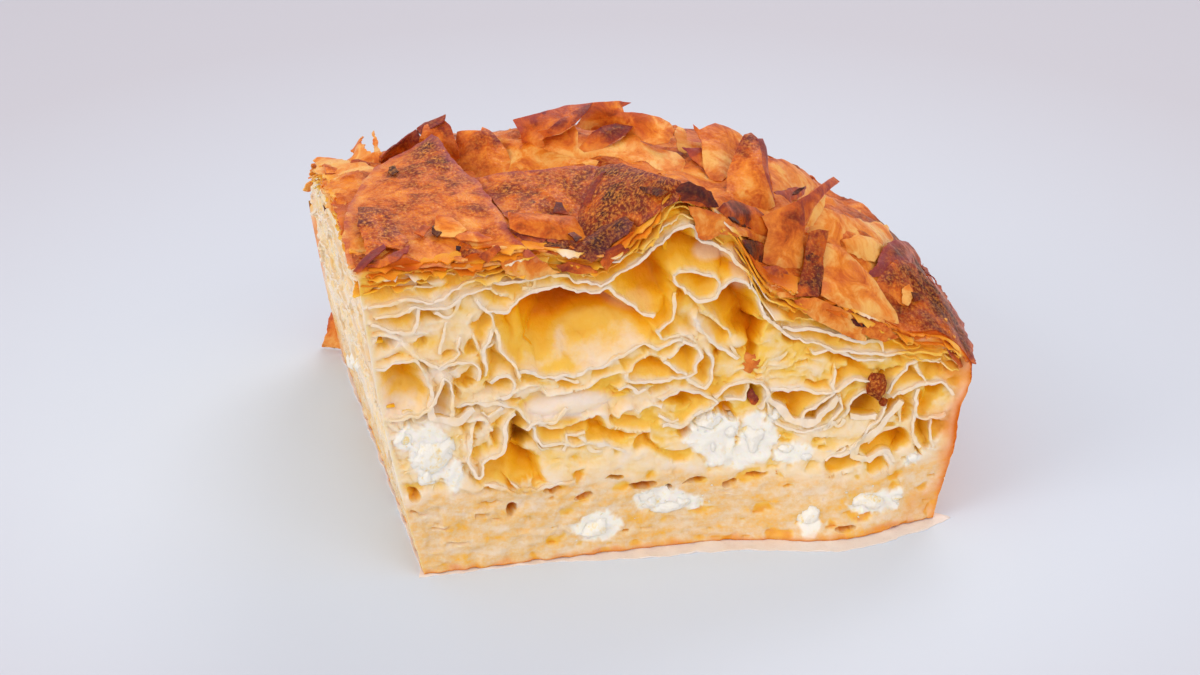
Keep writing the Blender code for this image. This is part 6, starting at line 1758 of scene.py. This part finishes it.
def makeFlake(corners, bulge, ragged, chance):
    # fills the torn outline on its own plane, then raises it to the outline's height and to a dome
    outline = tornOutline(corners, ragged, chance)
    centre = outline.mean(0)
    _, _, axes = np.linalg.svd(outline - centre)
    axes[2] *= np.sign(axes[2][2]) or 1
    flat = (outline - centre) @ axes[:2].T
    free = staggeredGrid(flat.min(0), flat.max(0), flakeMesh["grid"])
    free = free[insidePolygon(free, flat)]
    free = free[gapsTo(free, flat).min(1) > flakeMesh["grid"] * 0.5]
    points = [Vector(p) for p in np.concatenate([flat, free]).tolist()]
    rim = [(k, (k + 1) % len(flat)) for k in range(len(flat))]
    found, _, faces, _, _, _ = delaunay_2d_cdt(points, rim, [], 1, 1e-4)
    at = np.array([(p.x, p.y) for p in found])
    gap = gapsTo(at, flat)
    border = gap.min(1)
    weight = 1 / (gap + 0.05) ** 2.5
    lift = (weight * ((outline - centre) @ axes[2])[None]).sum(1) / weight.sum(1)
    scale = max(border.max(), 1)
    dome = bulge * min(scale / 2, 1) * (1 - (1 - np.minimum(border / scale, 1)) ** 2)
    size, place = flakeMesh["rippleSize"], chance.uniform(0, 50)
    ripple = noiseSum(*at.T, ((1.0, size, size, 0), (0.4, 1.6, 1.6, 0)), place)
    lift = lift + dome + flakeMesh["ripple"] * ripple * min(scale / 2, 1)
    return centre + at @ axes[:2] + lift[:, None] * axes[2], faces, border


def makeFlakes():
    chance = random.Random(flakeMesh["seed"])
    everything = [(onCrust(outline), *rest) for outline, *rest in flakes] + farFlakeList() + scrapList()
    everything += [(onPlane(outline), *rest) for outline, *rest in sideFlakes]
    (paleFrom, paler), (darkFrom, darker) = flakeMesh["paler"], flakeMesh["darker"]
    driftSize, driftShare = flakeMesh["drift"]
    rimWidth, rimShare = flakeMesh["rim"]
    for part, chosen in (("crustFlakesFront", everything[::2]), ("crustFlakesBack", everything[1::2])):
        points, faces, bakes, edges, glitters, count = [], [], [], [], [], 0
        for corners, bulge, low, high, glitter, rim, ragged in chosen:
            surface, tris, border = makeFlake(corners, bulge, ragged, chance)
            x, y, z = surface.T
            z = z - flakeMesh["press"] * np.maximum(z - flakeMesh["fullHeight"], 0)
            z = np.maximum(z, flakeMesh["lowest"])
            points.append(np.stack([x, y, z], 1))
            faces += [[i + count for i in tri] for tri in tris]
            count += len(surface)
            above = z - crustHeight(x, y)
            above, rise = above - above.min(), z - z.min()
            share = 0.5 * smoothStep(above / (above.max() + 0.3))
            share = share + 0.5 * smoothStep(rise / (rise.max() + 0.3))
            drift = noiseAt(x / driftSize, y / driftSize, chance.uniform(0, 50))
            low, high = low - paler * (low > paleFrom), high + darker * (high > darkFrom)
            bakes.append(np.clip(low + (high - low) * share + driftShare * drift, 0, 1))
            torn = rimShare * smoothStep(1 - border / rimWidth) * rim
            edges.append(np.minimum(torn * (0.4 + 0.6 * share), 1))
            glitters.append(np.full(len(surface), glitter))
        obj = objectFrom(part, np.concatenate(points), faces)
        setAttributes(obj, bake=np.concatenate(bakes), edge=np.concatenate(edges),
                      glitter=np.concatenate(glitters))
        setMaterial(obj, flakeMaterial)
        thicken(obj, flakeMesh["thickness"])
        finishPiece(obj, "pastry")


makeFlakes()
print("flakes of the crust made")

# Lumps of cheese: node, cut side, place along the cut, height, size along, deep, high
cheeseLumps = [
    ("cheese_left", "front", 2.0, 22.8, 9.0, 8.0, 10.0),
    ("cheese_right", "front", 57.4, 18.4, 9.4, 8.4, 8.6),
    ("cheese_bottom", "front", 29.5, 5.0, 10.0, 7.0, 7.0),
    ("cheese_low_mid", "front", 41.6, 8.2, 10.5, 5.6, 4.6),
    ("cheese_low_right", "front", 66.2, 4.0, 5.4, 5.0, 5.2),
    ("cheese_foot_right", "front", 76.2, 5.6, 7.6, 5.4, 4.8),
    ("cheese_pale_mid", "front", 50.4, 18.0, 4.6, 4.6, 4.6),
    ("cheese_side_low", "left", 24.0, 8.2, 8.4, 6.4, 6.0),
    ("cheese_side_mid", "left", 47.0, 17.6, 9.0, 7.0, 6.8),
    ("cheese_side_back", "left", 67.0, 7.2, 6.6, 5.6, 5.2),
]
# Brown crumbs in the cut: x, z, mm behind it, size along, deep and high, bake and share of painted glints and
# gloss
bits = [(77.9, 26.2, 0.2, 3.6, 2.6, 5.6, 0.50, 0.9), (79.2, 22.8, 0.3, 1.6, 1.4, 1.6, 0.40, 0.5)]
# Small white lumps, with the same values as far as their size
whiteBits = [
    (49.2, 22.4, 1.9, 6.0, 4.2, 4.0), (53.2, 20.6, 1.9, 4.4, 3.8, 5.0), (62.2, 16.4, 1.0, 3.2, 2.6, 2.2),
    (65.6, 14.6, 0.8, 2.0, 1.8, 1.4), (60.6, 22.6, 1.1, 2.6, 2.4, 2.4), (0.8, 18.4, 1.2, 3.6, 2.6, 3.4),
    (-2.4, 25.8, 1.0, 2.4, 2.0, 2.6), (38.4, 10.0, 1.3, 3.0, 2.6, 2.4), (44.6, 8.2, 1.1, 3.2, 2.4, 2.0),
    (80.8, 5.4, 1.2, 3.6, 2.4, 2.2), (84.4, 11.8, 0.8, 2.2, 1.8, 1.8),
]
curd = {
    "subdivisions": 5,
    "balls": 5,                # a lump is a cluster of these
    "spread": (0.10, 0.30),
    "radius": (0.66, 0.84),
    "coarse": 0.20,            # crumbly surface, mm
    "fine": 0.06,
    "planes": 20,              # broken sides, and how near the middle they lie
    "cut": (0.62, 0.92),
    "face": 0.93,              # the side that the knife cut
    "buried": 0.46,
    "sharpFrom": 32,
}


def curdShape(way, size, seed, faceAxis):
    # how far a lump reaches in each direction: a cluster of balls, broken and crumbly
    chance = np.random.default_rng(seed + 3)
    centres = chance.normal(size=(curd["balls"], 3))
    centres *= (chance.uniform(*curd["spread"], curd["balls"]) / np.linalg.norm(centres, axis=1))[:, None]
    radii = chance.uniform(*curd["radius"], curd["balls"])
    along = way @ centres.T
    reach = along + np.sqrt(np.maximum(radii ** 2 - (centres ** 2).sum(1) + along ** 2, 0.01))
    order = np.sort(reach, 1)
    crack = 1 - smoothStep((order[:, -1] - order[:, -2]) / 0.07)
    # broken sides: the cluster cut by planes in all directions, and by the knife in front
    planes = chance.normal(size=(curd["planes"], 3))
    planes /= np.linalg.norm(planes, axis=1)[:, None]
    flat = (chance.uniform(*curd["cut"], curd["planes"])[None] / np.maximum(way @ planes.T, 0.3)).min(1)
    flat = np.minimum(flat, curd["face"] / np.maximum(-way[:, faceAxis], 0.3))
    radius = np.minimum(order[:, -1] - 0.04 * crack, flat)
    place = way * radius[:, None]
    place *= np.array(size) * 0.52 / np.abs(place).max(0)
    cell = noiseAt(*(place.T / 1.1 + seed * 5))
    broken = np.abs(noiseAt(*(place.T / 0.6 + seed * 3)))
    grow = curd["coarse"] * cell + curd["fine"] * (0.3 - broken) * 2 + 0.10 * noiseAt(*(place.T / 0.28))
    return place + way * grow[:, None] * min(1.0, min(size) / 4), crack * (broken < 0.4)


def makeLump(name, side, along, high, behind, size, seed, material):
    mesh = bmesh.new()
    bmesh.ops.create_icosphere(mesh, subdivisions=curd["subdivisions"] - (max(size) < 4), radius=1)
    lump = meshObject(name + "Lump", mesh)
    way = coordinates(lump)
    way /= np.linalg.norm(way, axis=1)[:, None]
    wide, deep, tall = size
    size, faceAxis = ((wide, deep, tall), 1) if side == "front" else ((deep, wide, tall), 0)
    place, crack = curdShape(way, size, seed, faceAxis)
    movePoints(lump, place + cuts[side]["place"](np.array([along]), np.array([high]), behind))
    setAttributes(lump, crack=crack)
    setMaterial(lump, material)
    return lump


def makeCheese():
    for seed, (name, side, along, high, *size) in enumerate(cheeseLumps):
        lump = makeLump(name, side, along, high, size[1] * curd["buried"], size, seed, cheeseMaterial)
        finishPiece(lump, "cheese", name, sharpFrom=curd["sharpFrom"])


def makeBits():
    for name, rows, material, slot in (("looseBits", bits, crustMaterial, "pastry"),
                                       ("whiteBits", whiteBits, cheeseMaterial, "cheese")):
        lumps = []
        joined = bmesh.new()
        for k, (x, z, behind, wide, deep, tall, *tone) in enumerate(rows):
            lump = makeLump(f"{name}{k}", "front", x, z, behind, (wide, deep, tall), 40 + k, material)
            if tone:
                setAttributes(lump, bake=tone[0], glitter=tone[1], edge=0)
            joined.from_mesh(lump.data)
            lumps.append(lump)
        for lump in lumps:
            bpy.data.objects.remove(lump)
        piece = meshObject(name, joined)
        setMaterial(piece, material)
        finishPiece(piece, slot)


crumbs = {
    # name: points a square mm, smallest and largest size in mm, seed
    "curdCrumbs": (0.08, 0.08, 0.28, 3),
    "crustCrumbs": (0.12, 0.12, 0.42, 8),
    "rough": 0.35,
    "strewn": 0.01,
    "inCustard": 0.02,
}


def makeCrumbTree():
    # small broken balls strewn over a surface, thickest where its attribute "crumbs" is high
    tree, given, out = newGroup(
        "strewCrumbs", "GeometryNodeTree",
        [("Geometry", "Geometry"), ("Density", "Float", 1.0), ("Smallest", "Float", 0.0001),
         ("Largest", "Float", 0.0005), ("Roughness", "Float", 0.0001), ("Seed", "Int", 0),
         ("Material", "Material")], [("Geometry", "Geometry")])
    seed = {"Seed": given["Seed"]}
    share = addNode(tree, "GeometryNodeInputNamedAttribute", {"Name": "crumbs"}, data_type="FLOAT")
    density = times(share.outputs["Attribute"], given["Density"])
    strew = addNode(tree, "GeometryNodeDistributePointsOnFaces",
                    {"Mesh": given["Geometry"], "Density": density, **seed})
    ball = addNode(tree, "GeometryNodeMeshIcoSphere", {"Radius": 1.0, "Subdivisions": 2})
    turn = addNode(tree, "FunctionNodeRandomValue", {"Max": (6.28, 6.28, 6.28), **seed},
                   data_type="FLOAT_VECTOR")
    size = addNode(tree, "FunctionNodeRandomValue",
                   {"Min": given["Smallest"], "Max": given["Largest"], **seed}, data_type="FLOAT_VECTOR")
    place = addNode(tree, "GeometryNodeInstanceOnPoints", {
        "Points": strew.outputs["Points"], "Instance": ball.outputs["Mesh"],
        "Rotation": turn.outputs["Value"], "Scale": size.outputs["Value"]})
    wobble = addNode(tree, "ShaderNodeTexNoise", {"Scale": 4000.0}).outputs["Color"]
    centred = vectorMath("SUBTRACT", wobble, (0.5, 0.5, 0.5))
    scaled = addNode(tree, "ShaderNodeVectorMath", {0: centred, "Scale": given["Roughness"]},
                     operation="SCALE")
    moved = addNode(tree, "GeometryNodeSetPosition", {
        "Geometry": realized(place.outputs["Instances"]), "Offset": scaled.outputs[0]})
    return endTree(moved.outputs["Geometry"], given, out)


def makeCrumbs():
    tree = makeCrumbTree()
    x, y, z = placesOn(sliceBody)
    front, left = y - frontBow(x, z), x - leftCut(y, z)
    roof = crustHeight(x, y) - z
    onCut = ((front < 2.2) | (left < 2.2)) & (roof > 4) & (z > 1.5)
    near = crumbs["strewn"] + crumbs["inCustard"] * (z < custardTop(x, y) + 2)
    lumps = [(side, along, high, wide, tall) for _, side, along, high, wide, _, tall in cheeseLumps]
    lumps += [("front", bx, bz, wide, tall) for bx, bz, _, wide, _, tall in whiteBits]
    for side, along, high, wide, tall in lumps:
        across, ahead = (x, front) if side == "front" else (y, left)
        away = np.hypot((across - along) / (wide * 0.62 + 1.2), (z - high) / (tall * 0.62 + 1.2))
        near = np.maximum(near, smoothStep((1.25 - away) / 0.5) * (ahead < 3.5))
    clumps = smoothStep(0.55 + 1.6 * noiseAt(x / 2.4, y / 2.4, z / 2.4))
    edge = smoothStep((5 - np.minimum(y, x - leftCut(y, 50))) / 5) + 0.12
    onEdge = edge * (roof < 1.5) * (z > 24)
    for name, shares, material, slot in (("curdCrumbs", near * onCut * clumps, cheeseMaterial, "cheese"),
                                         ("crustCrumbs", onEdge * clumps, flakeMaterial, "pastry")):
        density, smallest, largest, seed = crumbs[name]
        source = linkObject(name, sliceBody.data.copy())
        setAttributes(source, crumbs=shares)
        piece = applyTree(source, tree, {
            "Density": density / mm ** 2, "Smallest": smallest * mm, "Largest": largest * mm,
            "Roughness": crumbs["rough"] * mm, "Seed": seed, "Material": material})
        setMaterial(piece, material)
        cx, cy, cz = (coordinates(piece) / mm).T
        setAttributes(piece, edge=0, glitter=0,
                      crack=np.clip(0.9 * noiseAt(cx / 3, cy / 3, cz / 3) + 0.3, 0, 1),
                      bake=np.clip(0.22 + 0.9 * noiseAt(cx / 2, cy / 2, cz / 2), 0, 0.9))
        finishPiece(piece, slot)


makeCheese()
makeBits()
makeCrumbs()
print("cheese, bits and crumbs made")

film = {
    "steps": (150, 160, 90),   # points along the front, the pan and the left cut
    "rings": 16,
    "centre": (44.0, 40.0),
    "top": 0.4,                # mm
    "edgeDrop": 0.25,
    "thinnest": 0.14,
    "thickness": 0.32,
    "wave": 0.5,
    "reach": 2.6,              # how far it sticks out in front
}


def filmFront(x):
    sticksOut = film["reach"] * smoothStep((x - 18) / 22) * smoothStep((93 - x) / 8)
    edge = frontBow(x, 0) - 0.2 - sticksOut
    return edge - 0.5 * noiseAt(x / 4, 2.0, 0.0) - 0.35 * noiseAt(x / 1.2, 6.0, 0.0)


def makeBottomSheet():
    # rings on top run inwards and those below outwards, so both together close round the edge
    frontSteps, panSteps, leftSteps = film["steps"]
    x = np.linspace(-0.9, 91.0, frontSteps)
    pan = panEdge(np.linspace(0, 1, panSteps), wallInset(0) - 0.2)
    pan = pan[(pan[:, 1] > 1.5) & (pan[:, 0] > leftCut(pan[:, 1], 0))]
    y = np.linspace(pie["backEdge"] - wallInset(0) - 0.4, 3, leftSteps)
    left = np.stack([leftCut(y, 0) - 0.1 - 0.3 * noiseAt(y / 5, 7.0, 0.0), y], 1)
    outline = np.concatenate([np.stack([x, filmFront(x)], 1), pan, left])
    outline = outline + 0.22 * np.stack([noiseAt(*outline.T / 1.3, 4.0), noiseAt(*outline.T / 1.3, 9.0)], 1)
    centre = np.array(film["centre"])
    inner = film["rings"] - 1
    shares = 1 - (np.arange(film["rings"]) / inner) ** 1.6 * 0.75
    points = []
    for onTop in (True, False):
        for share in (shares if onTop else shares[::-1]):
            flat = centre + (outline - centre) * share
            wave = film["wave"] * noiseAt(flat[:, 0] / 3.0, flat[:, 1] / 2.2, 3.0)
            outer = smoothStep((share - 0.86) / 0.1)
            top = np.maximum(film["top"] - film["edgeDrop"] * outer + wave * outer, film["thinnest"])
            z = top if onTop else np.maximum(top - film["thickness"], 0) * outer * 0.6
            points.append(np.column_stack([flat, z]))
    index = np.arange(len(points) * len(outline)).reshape(len(points), -1)
    faces = []
    for ring, (first, second) in enumerate(zip(index, np.roll(index, -1, 0))):
        if ring != inner:
            faces += quads(ringPair(first, second))
    faces += [index[inner].tolist(), index[inner + 1, ::-1].tolist()]
    obj = objectFrom("bottomFilm", np.concatenate(points), faces)
    editMesh(obj.data, turnOutwards)
    setMaterial(obj, sheetMaterial)
    x, y, _ = placesOn(obj)
    setAttributes(obj, cellDepth=0, warm=0, veil=1, curd=0.5, custard=0,
                  bake=np.maximum(0.06 * noiseAt(x / 6, y / 6, 0.0), 0))
    finishPiece(obj, "bottom_phyllo", "bottom_sheet")


makeBottomSheet()
